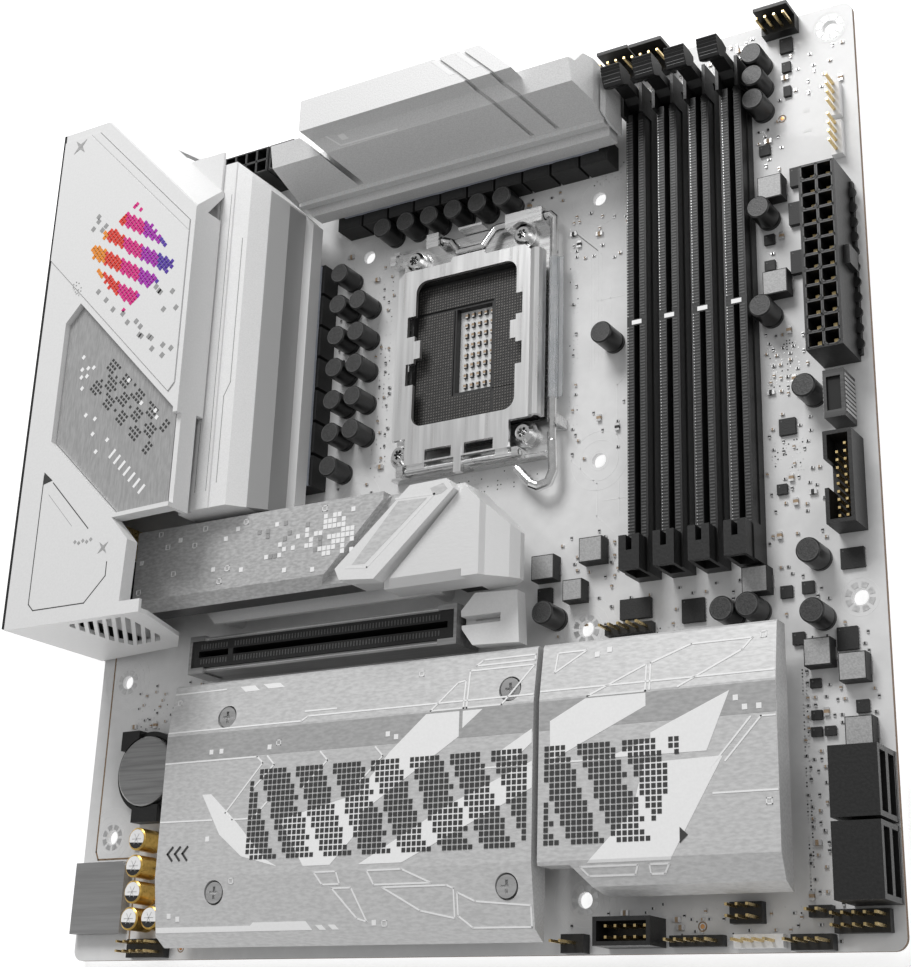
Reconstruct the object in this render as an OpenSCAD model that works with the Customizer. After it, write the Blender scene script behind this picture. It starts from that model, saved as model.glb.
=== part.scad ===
// Small square motherboard, white, drawn lying flat with its component side up.
// Frame: x to the right (rear ports at the left edge), y up the board (power section at the top edge),
// z out of the component side. Origin: board centre, on the board's underside. Millimetres.
// Every module that starts with up() is drawn with z = 0 on the component side of the board.

/* [Board] */
// Side length of the square board
board = 243.84; // [200:0.01:260]
// Board thickness
pcb_t = 1.6; // [1.2:0.1:2.4]
// Fixing hole diameter
hole_d = 3.96; // [3.5:0.01:4.5]
// Reach of the solder tails below the board
tail_l = 2.2; // [1:0.1:3]

/* [Cooling] */
// Top of the rear port cover above the board
cover_h = 42.3; // [36:0.1:46]
// Top of the left power heatsink above the board
left_h = 30.5; // [26:0.1:34]
// Height of the top heatsink's plateau above the board
top_h = 38; // [34:0.1:40]
// Top of the drive heatsink above the board
drive_h = 24.5; // [20:0.1:28]
// Middle height of the two lower cover plates
plate_h = 14.5; // [12:0.1:18]

/* [Memory] */
// Number of memory slots (the node list names four)
slot_count = 4; // [1:1:4]
// Centre of the first memory slot
slot_x = 61.3; // [55:0.1:70]
// Distance between memory slots
slot_pitch = 9.4; // [8:0.05:11]

/* [Socket] */
// Centre of the processor socket in x
sock_x = 7.8; // [0:0.1:15]
// Centre of the processor socket in y
sock_y = 42.4; // [35:0.1:50]
// Side of the square of cooler holes
cooler_sq = 78; // [70:0.5:90]
// Height of the lever's turning line above the board
lever_z = 4; // [3:0.1:5]

/* [Hidden] */
$fn = 0;
$fa = 12;
$fs = 0.5;
half = board / 2;
cap_pitch = 10.2;
hinge_y = 7.5;
latch_y = 105;
cover_top = 127;
hinge_z = 5;
lever_y = 78.1;

// ---- helpers ----
module up() {
  translate([0, 0, pcb_t]) children();
}
module box(x0, y0, z0, x1, y1, z1) {
  translate([x0, y0, z0]) cube([x1 - x0, y1 - y0, z1 - z0]);
}
module slab(z0, z1) {
  translate([0, 0, z0]) linear_extrude(z1 - z0) children();
}
// profile drawn as [y, z], run along x
module along_x(x0, x1) {
  translate([x0, 0, 0]) rotate([90, 0, 90]) linear_extrude(x1 - x0) children();
}
// profile drawn as [x, z], run along y
module along_y(y0, y1) {
  translate([0, y1, 0]) rotate([90, 0, 0]) linear_extrude(y1 - y0) children();
}
// everything on the far side of the 45 degree line x + y = s
module beyond(s) {
  translate([s / 2, s / 2, -20]) rotate([0, 0, -45]) translate([-300, 0, 0]) cube([600, 300, 100]);
}
// a narrow band w wide along the line x + y = s
module band(s, w, z0, z1) {
  translate([s / 2, s / 2, z0]) rotate([0, 0, -45]) translate([-300, -w / 2, 0]) cube([600, w, z1 - z0]);
}
module post(x, y, z0, z1, d) {
  translate([x, y, z0]) cylinder(h = z1 - z0, d = d);
}
module pin(x, y, z0, z1, w = 0.64) {
  box(x - w / 2, y - w / 2, z0, x + w / 2, y + w / 2, z1);
}
module pins(x, y, nx, ny, z0, z1, pitch = 2.54, w = 0.64) {
  for (i = [0 : nx - 1])
    for (j = [0 : ny - 1])
      pin(x + i * pitch, y + j * pitch, z0, z1, w);
}
// round wire from a to b
module wire(a, b, d) {
  hull() {
    translate(a) sphere(d = d, $fn = 14);
    translate(b) sphere(d = d, $fn = 14);
  }
}

// ---- hole places ----
fix_holes = [[115.57, 115.57], [115.57, -41.91], [43.18, -41.91], [43.18, 115.57],
  [-111.76, -41.91], [-111.76, -87.63], [-88.9, 115.57], [43.18, -109.22]];
frame_holes = [[-12, 73.7], [24.4, 73.7], [-14.4, 13.4], [25.7, 13.4]];
plate_holes = [[-61, -59], [29, -59], [-61, -106], [29, -107]];
sink_holes = [[-68, 3], [-68, 98], [-28, 110], [46, 104], [47, -53], [92, -53], [92, -100], [60, -100]];

module pcb() {
  color("#e9e9e7") difference() {
    slab(0, pcb_t) offset(r = 3) square(board - 6, center = true);
    for (p = fix_holes) post(p[0], p[1], -1, 3, hole_d);
    for (x = [-1, 1])
      for (y = [-1, 1])
        post(sock_x - 0.2 + x * cooler_sq / 2, sock_y + y * cooler_sq / 2, -1, 3, 4);
    for (p = frame_holes) post(p[0], p[1], -1, 3, 4.4);
    for (p = sink_holes) post(p[0], p[1], -1, 3, 3.2);
  }
}

// ---- rear ports and cover ----
module io_shield() {
  color("#222222") up() difference() {
    box(-122.9, -34.2, -1.5, -122.1, cover_top, 42.3);
    box(-124, 95.6, 0.6, -122, 115.4, 27.4);
    box(-124, 75.2, 0.6, -122, 90.8, 31.4);
    box(-124, 55.2, 0.6, -122, 70.8, 31.4);
    box(-124, 34.2, 0.6, -122, 51.8, 31.4);
    box(-124, 13.2, 0.6, -122, 28.8, 31.4);
    for (p = [[3, 9], [-1.6, 21]]) translate([-124, p[0], p[1]]) rotate([0, 90, 0]) cylinder(h = 3, d = 7);
    for (y = [-12, -26.4])
      for (z = [7, 20])
        translate([-124, y, z]) rotate([0, 90, 0]) cylinder(h = 3, d = 9.2);
    for (z = [7, 16]) translate([-124, 119.6, z]) rotate([0, 90, 0]) cylinder(h = 3, d = 4.4);
    for (i = [0 : 13])
      box(-124, -28 + i * 10.5, 35.5, -122, -21 + i * 10.5, 37.5);
  }
}
module cover_outline() {
  polygon([[-121.9, -33.5], [-79, -33.5], [-78.3, -13.2], [-85, -6], [-64.5, -5.5], [-64.5, 87.5],
    [23 - cover_top, cover_top], [-121.9, cover_top]]);
}
module vent_zone() {
  polygon([[-101, 39.6], [-101, 20], [-99, 12.8], [-87.4, 14.2], [-84.4, 17.4], [-79.4, 36], [-79, 39.6]]);
}
module io_cover() {
  color("#f0f0ee") up() difference() {
    union() {
      slab(38, cover_h) cover_outline();
      box(-66.1, -5.4, 34, -64.5, 24, 38);
      box(-66.1, 24, 31.2, -64.5, 87.5, 38);
      box(-121.9, cover_top - 2, 0.4, 23 - cover_top, cover_top, 38);
      // sloping side beyond the 45 degree cut, with the lower deck at its foot
      difference() {
        translate([23 - cover_top, cover_top, 0]) rotate([0, 0, -45]) union() {
          along_x(0, 56) polygon([[-1.2, cover_h - 0.4], [0.3, cover_h - 0.4], [7, 31.6], [7, 30.7],
              [5.8, 30.7], [-1.2, 38.4]]);
          along_x(0, 21) polygon([[7, 31.6], [9.6, 14], [8.4, 14], [6, 30.9]]);
        }
        box(-64.5, 70, 0, -40, 130, 60);
        box(-125, cover_top, 0, -40, 140, 60);
      }
      slab(30.7, 31.6) polygon([[-78.2, 110.4], [-65, 97.2], [-65, 111], [-78.2, 111]]);
      // slotted end wall and its thin top flange
      difference() {
        along_y(-34.7, -33.5) polygon([[-121.9, 1.4], [-88, 6.3], [-79.5, 15.8], [-71.5, 38.6],
          [-71.5, cover_h], [-121.9, cover_h]]);
        intersection() {
          along_y(-35, -33) vent_zone();
          union() {
            for (i = [0 : 12])
              along_y(-35, -33) translate([-135.9 + i * 3.42, 0]) rotate(-40) square([1.5, 80]);
          }
        }
      }
      box(-79, -33.5, 41.3, -71.5, -31, cover_h);
      for (p = [[-97, -29.6], [-97, 119]]) post(p[0], p[1], 0, 38, 5);
    }
    // pocket for the brushed panel, open at its right edge
    slab(39.6, 45) polygon([[-112.3, 59.4], [-107, 65], [-66.1, 24.1], [-66.1, -4.2], [-84.3, -4.8],
      [-112.3, 21.2]]);
    box(-66.2, -4.2, 40.4, -60, 22.5, 45);
    // shallow bed for the rhombus plate
    slab(41.7, 45) polygon([[-122.5, 124.2], [-107.2, 124.2], [-66.2, 83.2], [-66.2, 31.5], [-68.5, 29],
      [-107.5, 68], [-122.5, 83]]);
  }
}
module io_cover_panel() {
  color("#8d9095") up() slab(39.6, 40.4) polygon([[-112.1, 59.3], [-107, 64.7], [-66.4, 24.1],
    [-66.4, -4], [-84.2, -4.6], [-112.1, 21.3]]);
}
module io_cover_badge() {
  color("#f4f4f2") up() difference() {
    slab(41.7, 42.7) polygon([[-121.8, 124], [-107.3, 124], [-66.4, 83.1], [-66.4, 31.6],
      [-68.5, 29.3], [-107.4, 68.2], [-121.8, 82.6]]);
    band(13.2, 0.4, 42.4, 44);
  }
}

// ---- power section ----
module vrm_heatsink_left() {
  color("#e6e6e5") up() difference() {
    union() {
      along_y(-3.2, 107) polygon([[-43.2, 8.5], [-43.2, 13.4], [-46.2, 13.4], [-46.2, 21.5],
        [-50.1, 25.9], [-50.3, 25.9], [-54.2, left_h], [-60, left_h], [-60.3, left_h - 0.8],
        [-60.6, left_h], [-66.8, left_h], [-67.6, left_h - 1.6], [-72.5, left_h - 1.6], [-72.5, 8.5]]);
      box(-64, 6, 2.6, -54, 84, 8.5);
      post(-68, 3, 0, 8.5, 7);
      post(-68, 98, 0, 8.5, 7);
    }
    beyond(46.5);
    post(-68, 3, -1, 6, 2.4);
    post(-68, 98, -1, 6, 2.4);
  }
}
module vrm_heatsink_top() {
  color("#dcdcdb") up() difference() {
    union() {
      along_x(-47, 56.5) polygon([[92, 8.5], [92, 13.5], [95, 13.5], [95, 15], [94.3, 15], [94.3, 17],
        [95.7, 17], [95.7, 17.6], [100.5, 31], [107.2, 32.6], [107.2, 30], [111, 27], [111, 8.5]]);
      difference() {
        along_x(-32, 40) polygon([[105.3, 31], [105.3, top_h], [115.6, top_h], [115.6, 12], [110, 12], [110, 31]]);
        beyond(144.5);
      }
      box(-38, 98.5, 2.6, 46, 106, 8.5);
      post(-28, 110, 0, 8.5, 6);
      post(46, 104, 0, 8.5, 6);
      along_x(57.3, 57.9) polygon([[94, 8.5], [94, 15], [97, 24], [106, 24], [111, 18], [111, 8.5]]);
      box(56.4, 96, 8.5, 57.9, 110, 10);
    }
    // mitre at the left end, gap and grooves at 45 degrees
    translate([48.3 / 2, 48.3 / 2, -20]) rotate([0, 0, 135]) translate([-300, 0, 0]) cube([600, 300, 100]);
    box(-60, 80, 0, -46.3, 130, 60);
    band(72.6, 1.6, 17.4, 60);
    intersection() {
      union() {
        band(130.6, 0.9, 10, 60);
        band(138.6, 0.9, 10, 60);
      }
      along_x(0, 60) polygon([[95.6, 17.6], [100.4, 31.1], [105.2, 33.1], [105.2, 39], [116, 39],
        [116, 37], [106.3, 37], [106.3, 32], [101.2, 30], [96.7, 17.6]]);
    }
    post(-28, 110, -1, 6, 2.4);
    post(46, 104, -1, 6, 2.4);
    // sloping right end
    translate([53.8, 90, 32]) rotate([0, -17, 0]) box(0, -5, -22, 12, 40, 12);
  }
}
module thermal_pads() {
  color("#b8bcc6") up() {
    box(-49.4, 8, 7, -43.6, 78, 8.5);
    box(-62, 10, 1, -56, 80, 2.6);
    box(-36, 92.3, 7, 50, 95.6, 8.5);
    box(-36, 99.5, 1, 42, 105, 2.6);
    box(-72, -26, 9.6, 4, -8, 10.4);
    box(60, -83, 1.6, 76, -67, 2.6);
    box(-52, -92, 6.2, 20, -74, 7.5);
  }
}
module inductors() {
  color("#55565a") up() {
    for (i = [0 : 6]) box(-49.8, 8 + i * cap_pitch, 0, -42.6, 17.2 + i * cap_pitch, 7);
    for (i = [0 : 9]) box(-38.6 + i * 9.2, 88.7, 0, -30.2 + i * 9.2, 95.9, 7);
    for (p = [[32.2, -25.2], [46.2, -22.1], [90.8, -35.6], [105.8, -54.9], [114.1, -59.1],
        [114.9, -74], [98.4, 69.8], [98.9, 42.2]])
      box(p[0] - 3.3, p[1] - 3.3, 0, p[0] + 3.3, p[1] + 3.3, 4);
    box(38.2, -35.1, 0, 43.8, -29.5, 4);
  }
}
module can(x, y, d, h) {
  translate([x, y, 0]) rotate_extrude() polygon([[0, 0], [d / 2, 0], [d / 2, 1], [d / 2 - 0.25, 1.3],
    [d / 2, 1.6], [d / 2, h - 0.3], [d / 2 - 0.4, h], [0, h]]);
}
module polymer_capacitors() {
  color("#26272a") up() {
    for (i = [0 : 6]) can(-36.2, 12.4 + i * cap_pitch, 6.2, 8.5);
    for (i = [1 : 5]) can(-29, 12.4 + i * cap_pitch, 6.2, 8.5);
    for (i = [0 : 5]) can(-21.6 + i * 8.2, 85.3, 6.2, 8.5);
    for (p = [[96.2, 108.8], [96.3, 101.9], [96.2, 94.7], [96.7, 62.2], [96.4, 34.3], [106.8, 10.6],
        [106.2, -31.4], [106.5, -46.1], [51.3, 36.3], [83.8, -43.1], [90.4, -42.8], [34.7, -38.6]])
      can(p[0], p[1], 6.2, 8.5);
  }
}

// ---- processor socket ----
module cpu_socket() {
  color("#2c2d30") up() difference() {
    box(sock_x - 20.7, sock_y - 24.6, 0, sock_x + 20.7, sock_y + 24.6, 4.6);
    box(sock_x - 18.8, sock_y - 22.6, 2.4, sock_x + 18.8, sock_y + 22.6, 6);
    box(sock_x - 5.6, sock_y - 12.6, -1, sock_x + 6.1, sock_y + 13.2, 6);
    box(sock_x - 22, sock_y - 4, 3.4, sock_x + 22, sock_y + 4, 6);
  }
}
module socket_contacts() {
  color("#8a8378") up() {
    slab(2.4, 2.8) polygon([[-10.8, 64.8], [26.4, 64.8], [26.4, 29.2], [14.6, 29.2], [14.6, 56.4],
      [-10.8, 56.4]]);
    slab(2.4, 2.8) polygon([[-10.8, 55.6], [1.6, 55.6], [1.6, 28.9], [26.4, 28.9], [26.4, 20],
      [-10.8, 20]]);
    for (i = [0 : 4])
      for (j = [0 : 7])
        box(4 + i * 2.1, 31.5 + j * 3.1, 0, 5 + i * 2.1, 33 + j * 3.1, 0.6);
  }
}
module socket_frame() {
  color("#b9bbbe") up() difference() {
    union() {
      box(-17.2, 8.2, 0, 31.6, 79.4, 1.4);
      for (p = frame_holes) post(p[0], p[1], 0, 2.8, 7.6);
      // lever bearings
      box(-7, 75.9, 0, -2.9, 80.3, 6);
      box(19.5, 75.9, 0, 31.4, 80.3, 6);
      // stop tab behind the crank
      box(3.6, 79.6, 0, 11.5, 80.3, 5.6);
      // corner ears
      box(-20.4, 73.8, 0, -18.6, 78.8, 4.6);
      box(-20.4, 73.8, 0, -16, 78.8, 1.4);
      // hinge rail with two bearing walls
      box(-17.2, 6.2, 0, 5, 7, 3.3);
      box(8.6, 6.2, 0, 31.6, 7, 3.3);
      box(-17.2, 6.2, 0, 31.6, 8.4, 1.2);
      box(-13.5, 6.4, 0, -11.6, 8.9, 6.4);
      box(23.4, 6.4, 0, 25.3, 8.9, 6.4);
      // open retaining hook for the lever arm
      box(31.4, 13.6, 0, 37.2, 16.4, 1.4);
      box(36.4, 13.6, 0, 37.2, 16.4, 5.6);
    }
    box(sock_x - 21, sock_y - 24.9, -1, sock_x + 21, sock_y + 24.9, 8);
    for (p = frame_holes) {
      post(p[0], p[1], -1, 6, 4.4);
      post(p[0], p[1], 2.8, 8, 6.4);
    }
    translate([-30, lever_y, lever_z]) rotate([0, 90, 0]) cylinder(h = 64, d = 2.8);
    translate([-20, hinge_y, hinge_z]) rotate([0, 90, 0]) cylinder(h = 50, d = 2.3);
    box(5, 5, 0.8, 8.6, 8.5, 5);
  }
}
module plate_shape() {
  polygon([[-15.5, 16.8], [-11, 16.8], [-11, 8.9], [22.6, 8.9], [22.6, 16.8], [29, 16.8], [29, 66.6],
    [26.6, 69], [13.8, 69.1], [13.2, 70.5], [2.8, 70.5], [2.2, 69.1], [-13.6, 69.1], [-15.5, 67.2]]);
}
module plate_window() {
  translate([-9.2, 20]) {
    translate([3.5, 0]) square([26.4, 45]);
    translate([0, 3.5]) square([33.4, 17.4]);
    translate([0, 26.4]) square([33.4, 15.1]);
    translate([-2.6, 13]) square([38, 6.6]);
    translate([-2.6, 28]) square([38, 6.4]);
    translate([2, 10]) square([29.6, 30]);
    translate([3.5, 3.5]) circle(3.5);
    translate([29.9, 3.5]) circle(3.5);
    translate([3.5, 41.5]) circle(3.5);
    translate([29.9, 41.5]) circle(3.5);
  }
}
module load_plate() {
  color("#c4c6c9") up() difference() {
    union() {
      slab(5.6, 6.8) plate_shape();
      along_y(16.8, 66.6) polygon([[28.6, 5.6], [28.6, 6.8], [29.4, 7.8], [30.6, 8.2], [31.8, 7.6],
        [32.3, 6.2], [32.3, 4.4], [31.3, 4.4], [31.2, 6], [30.5, 6.9], [29.6, 6.2], [29, 5.6]]);
      translate([-11, hinge_y, hinge_z]) rotate([0, 90, 0]) cylinder(h = 33.6, d = 1.9);
      translate([-13.6, hinge_y, hinge_z]) rotate([0, 90, 0]) cylinder(h = 39, d = 1.5);
      box(-10.4, 7.4, 5, -4.6, 8.9, 6.2);
      box(18.2, 7.4, 5, 22, 8.9, 6.2);
      box(5.4, 4.4, 5.3, 7.8, 11.6, 6.9);
    }
    slab(4, 9) plate_window();
    box(-4.2, 9.4, 5, 4.4, 12.6, 8);
    box(8.6, 9.4, 5, 17.8, 12.6, 8);
  }
}
module load_lever() {
  zc = lever_z;
  color("#c9ccd0") up() {
    wire([-6, lever_y, zc], [-1.9, lever_y, zc], 2.2);
    wire([-1.9, lever_y, zc], [0.8, lever_y - 1.4, zc + 0.5], 2.2);
    wire([0.8, lever_y - 1.4, zc + 0.5], [3.8, lever_y - 5.6, zc + 1.2], 2.2);
    wire([3.8, lever_y - 5.6, zc + 1.2], [12, lever_y - 5.6, zc + 1.2], 2.2);
    wire([12, lever_y - 5.6, zc + 1.2], [15, lever_y - 0.4, zc], 2.2);
    wire([15, lever_y - 0.4, zc], [16.4, lever_y, zc], 2.2);
    wire([16.4, lever_y, zc], [33.2, lever_y, zc], 2.2);
    wire([33.2, lever_y, zc], [34.7, lever_y - 1.6, zc], 2.2);
    wire([34.7, lever_y - 1.6, zc], [34.7, 9, zc], 2.2);
    wire([34.7, 9.2, zc], [35, 1, zc], 2.7);
    wire([35, 1, zc], [33.6, -2, zc], 2.7);
    wire([33.6, -2, zc], [30.6, -2.7, zc], 2.7);
    wire([30.6, -2.7, zc], [28.4, -1.6, zc], 2.7);
    wire([28.4, -1.6, zc], [23.9, 3.2, zc], 2.7);
  }
}
module lever_sleeve() {
  color("#dfe6ec") up() difference() {
    union() {
      translate([34.7, 64, lever_z]) rotate([90, 0, 0]) cylinder(h = 42, d = 3);
      box(35.9, 22, lever_z - 0.2, 37.6, 64, lever_z + 0.1);
    }
    translate([34.7, 65, lever_z]) rotate([90, 0, 0]) cylinder(h = 44, d = 2.5);
  }
}
module socket_screws() {
  color("#d8d9db") up() for (p = frame_holes) difference() {
    union() {
      translate([p[0], p[1], 2.8]) rotate_extrude() polygon([[0, 0], [2.9, 0], [2.9, 1.1], [2.2, 1.9],
        [0, 1.9]]);
      post(p[0], p[1], -pcb_t - 1.6, 2.8, 3.9);
    }
    translate([p[0], p[1], 3.5]) for (a = [0, 60, 120]) rotate([0, 0, a]) cube([2.9, 0.8, 6], center = true);
  }
}
module socket_backplate() {
  color("#3a3b3e") difference() {
    box(-19, 7, -tail_l, 32, 80, 0);
    box(-6, 26, -5, 21, 59, 1);
    for (p = frame_holes) post(p[0], p[1], -5, 1, 4.4);
  }
}

// ---- memory ----
module memory_slot(i) {
  x = slot_x + i * slot_pitch;
  color("#2b2c2f") up() difference() {
    union() {
      box(x - 3.2, -29, 0, x + 3.2, 99.5, 3.4);
      box(x - 2.85, -29, 3.4, x + 2.85, 99.5, 7);
      box(x - 3.2, -31.5, 0, x + 3.2, -22, 8);
      box(x - 2.85, -31.5, 8, x + 2.85, -22.6, 12.5);
      box(x - 3.2, 99.5, 0, x + 3.2, 108.7, 1.4);
      box(x - 3.2, 99.5, 0, x - 2.3, 108.7, 9.6);
      box(x + 2.3, 99.5, 0, x + 3.2, 108.7, 9.6);
      box(x - 2.4, 99.5, 0, x + 2.4, 100.9, 7);
    }
    difference() {
      box(x - 0.8, -26.6, 1.6, x + 0.8, 102.5, 8);
      box(x - 1, 36.7, 1, x + 1, 38.5, 8);
    }
    box(x - 0.8, -26.6, 6.9, x + 0.8, -22, 15);
    box(x - 2, -32, 4, x + 2, -29.6, 11);
    // pivot holes of the latch
    translate([x - 4, latch_y, 3.2]) rotate([0, 90, 0]) cylinder(h = 8, d = 2.2);
  }
}
module memory_latch(i) {
  x = slot_x + i * slot_pitch;
  color("#3b3c40") up() {
    along_x(x - 2, x + 2) polygon([[103.5, 2.1], [106.3, 2.1], [107, 5], [107.2, 16], [104.8, 16],
      [104.4, 10], [103.1, 8], [102.6, 5]]);
    // gripping head: ribbed top, smooth slope toward the slot
    along_x(x - 2.85, x + 2.85) polygon([[104.6, 16], [107.3, 16], [107.9, 18.6], [107.9, 22.6],
      [107.6, 22.9], [107, 22.5], [106.7, 22.8], [106.1, 22.4], [105.8, 22.6], [105.2, 22.1],
      [104.9, 22.2], [102.4, 20.9], [102.3, 20.2], [103.4, 18]]);
    for (s = [-1, 1]) translate([x + s * 2.45, latch_y, 3.2]) rotate([0, 90, 0])
      cylinder(h = 0.9, d = 1.6, center = true);
  }
}

// ---- power connectors ----
module power_cells(x0, y0, nx, ny, z0, z1) {
  for (i = [0 : nx - 1])
    for (j = [0 : ny - 1])
      box(x0 + i * 4.2 + 0.4, y0 + j * 4.2 + 0.4, z0, x0 + i * 4.2 + 3.8, y0 + j * 4.2 + 3.8, z1);
}
module atx_power_connector() {
  color("#232326") up() difference() {
    union() {
      box(109.5, 17.5, 0, 119, 68.4, 12.8);
      box(119, 40.4, 3, 120.6, 45.6, 9);
      box(108.9, 19, 0, 119.8, 67, 1.6);
    }
    power_cells(110.05, 17.75, 2, 12, 3, 14);
  }
}
module cpu_power_connectors() {
  color("#242427") up() difference() {
    union() {
      box(-80.6, 113.2, 0, -63, 121.9, 13.3);
      box(-62.6, 113.2, 0, -53.4, 121.9, 13.3);
    }
    power_cells(-80.2, 113.4, 4, 2, 3, 15);
    power_cells(-62.2, 113.4, 2, 2, 3, 15);
  }
}

// ---- expansion ----
module pcie_slot() {
  color("#3d3e42") up() difference() {
    box(-77.8, -43.2, 0, 10, -35.7, 11);
    box(-75.6, -40.35, 3, -65, -38.55, 12);
    box(-63.2, -40.35, 3, 8, -38.55, 12);
  }
}
module pcie_armor() {
  color("#5b5d61") up() difference() {
    union() {
      box(-78.8, -44.6, 0, 11, -34.4, 10.2);
      box(-78.8, -45, 2, -73.4, -34.1, 11.4);
      box(5.2, -45, 2, 11, -34.1, 11.4);
    }
    box(-77.9, -43.3, -1, 10.1, -35.6, 12);
  }
}
module pcie_latch() {
  color("#e8e8e6") up() {
    difference() {
      slab(8.2, 12.4) polygon([[12.9, -36.8], [17, -32.4], [29.6, -33], [30.4, -46.8], [16.6, -46.2],
        [13.3, -41.8]]);
      box(12, -40.8, 8, 24.8, -38.4, 13);
    }
    box(12, -42.4, 1, 15, -36.4, 8.2);
    box(15, -40.4, 5.4, 25, -38.8, 8.2);
  }
}
module m2_side(y0, y1) {
  polygon([[y1, 10.4], [y1, drive_h], [y0 + 3, drive_h], [y0, drive_h - 3], [y0, drive_h - 10],
    [y0 + 3.4, 10.4]]);
}
module m2_heatsink() {
  color("#a9abae") up() difference() {
    union() {
      along_x(-90.6, -5) m2_side(-28.6, -4.9);
      along_x(-5, 20) polygon([[-5.2, 10.4], [-5.2, 21.6], [-8, drive_h], [-29.4, drive_h],
        [-31.4, 22], [-31.4, 14], [-27, 10.4]]);
      along_y(-31.4, -5.2) polygon([[20, 10.4], [20, drive_h], [25, drive_h], [26, 23], [30.6, 18.5],
        [32.4, 16], [32.4, 14], [28, 10.4]]);
    }
    beyond(13.4);
    // recess for the clip
    slab(22.2, 30) polygon([[-26.5, -29], [-2, -4], [20.5, -4], [20.5, -6.5], [-4, -31.6],
      [-26.5, -31.6]]);
  }
}
module m2_clip() {
  color("#f0f0ee") up() translate([0, 0, 22.3]) {
    slab(0, 4.5) polygon([[4.8, -5.4], [16.1, -5.2], [18.4, -8.2], [-5.4, -29.6], [-16.4, -28.6],
      [-18, -25.4]]);
  }
}
module m2_bracket() {
  color("#c9cacc") up() {
    difference() {
      slab(8, 9.6) polygon([[-72, -30.4], [5, -30.4], [5, -5.2], [-72, -5.2], [-78, -10], [-78, -24]]);
      box(-70, -24, 7, 0, -10, 9);
    }
    for (p = [[-70, -28], [1, -28], [-70, -7.4], [1, -7.4]]) post(p[0], p[1], 0, 8, 4);
  }
}
module m2_socket(x, y, z) {
  difference() {
    box(x, y - 11, z, x + 8.7, y + 11, z + 4.2);
    box(x - 1, y - 10, z + 1.4, x + 5.5, y + 10, z + 3);
  }
}
module m2_connectors() {
  color("#2b2b2e") up() {
    m2_socket(7, -17, 0);
    m2_socket(24, -83, 0);
  }
}
module turn_latch(x, y) {
  translate([x, y, 0]) {
    cylinder(h = 2.6, d = 4.6);
    translate([-1.3, 0, 1.4]) cube([2.6, 6.4, 1.2]);
  }
}
module m2_latch_1() {
  color("#3a3a3d") up() turn_latch(-74.6, -17);
}
module m2_latch_2() {
  color("#3a3a3d") up() turn_latch(-57.6, -83);
}
module chipset() {
  color("#6f7377") up() {
    box(56, -87, 0, 80, -63, 0.8);
    box(60, -83, 0.8, 76, -67, 1.6);
  }
}
// side view of a cover plate: bevelled edges, raised middle band
module plate_side(y0, y1, drop) {
  polygon([[y0, 7.5], [y0, 8.2], [y1 - 0, 12.3 - drop], [-101.7, plate_h], [-62.7, plate_h],
    [-49, 12.5], [-48.4, 11.9], [-48.4, 7.5]]);
}
module chipset_heatsink() {
  color("#c9cbce") up() difference() {
    union() {
      along_x(37.7, 99.4) plate_side(-109.6, -107.6, 0.2);
      box(58, -85, 2.6, 78, -65, 7.5);
      for (p = [[47, -53], [92, -53], [92, -100], [60, -100]]) post(p[0], p[1], 0, 7.5, 6);
    }
    slab(5, 20) polygon([[37, -111], [37, -102.6], [46.3, -102.6], [53.6, -109.9], [53.6, -111]]);
    for (p = [[47, -53], [92, -53], [92, -100], [60, -100]]) post(p[0], p[1], -1, 6, 2.4);
  }
}
module m2_cover_plate() {
  color("#c9cbce") up() difference() {
    union() {
      along_x(-81.3, 36.1) plate_side(-119.5, -116.8, 0.2);
      for (p = plate_holes) post(p[0], p[1], 0, 7.5, 6);
    }
    for (p = plate_holes) {
      post(p[0], p[1], -1, 20, 3.4);
      post(p[0], p[1], 11, 20, 6.4);
    }
  }
}
module heatsink_screws() {
  color("#b9bbbe") up() {
    for (p = plate_holes) difference() {
      union() {
        post(p[0], p[1], 11, 13.7, 5.6);
        post(p[0], p[1], 0.2, 11, 2.9);
      }
      translate([p[0], p[1], 13.2]) cube([3.2, 0.8, 2], center = true);
      translate([p[0], p[1], 13.2]) cube([0.8, 3.2, 2], center = true);
    }
    for (p = sink_holes) {
      post(p[0], p[1], -pcb_t - 1.8, -pcb_t, 5);
      post(p[0], p[1], -pcb_t, 5.5, 2.1);
    }
  }
}

// ---- right edge and headers ----
module sata_block(y0, y1) {
  difference() {
    union() {
      box(110.4, y0, 0, 121.8, y1, 13);
      box(118, y0, 0, 121.9, y1, 1.2);
    }
    for (z = [1.8, 7.6]) {
      box(114, y0 + 1.2, z, 123, y1 - 1.2, z + 4);
    }
  }
  for (z = [3.2, 9]) box(114, y0 + 2.4, z, 121, y1 - 2.4, z + 1);
}
module sata_connectors() {
  color("#2a2a2d") up() {
    sata_block(-94.6, -78.8);
    sata_block(-112.2, -95.4);
  }
}
module shroud(x0, y0, x1, y1, h, wall = 1) {
  difference() {
    box(x0, y0, 0, x1, y1, h);
    box(x0 + wall, y0 + wall, 2.4, x1 - wall, y1 - wall, h + 1);
  }
}
module usb3_header() {
  color("#2a2a2d") up() difference() {
    shroud(111.2, -25.9, 118.4, -2.6, 8.8);
    box(108, -17, 2.4, 112.5, -9.6, 10);
  }
}
module usb_c_header() {
  color("#a9abae") up() difference() {
    box(111.9, 0.8, 0, 117.1, 13.2, 8.6);
    difference() {
      box(112.7, 2.6, 3, 116.3, 11.4, 10);
      box(114, 3, 2, 115, 11, 7.6);
    }
  }
}
module fan_base(x0, y0, x1, y1) {
  box(x0, y0, 0, x1, y1, 3.2);
}
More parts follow.
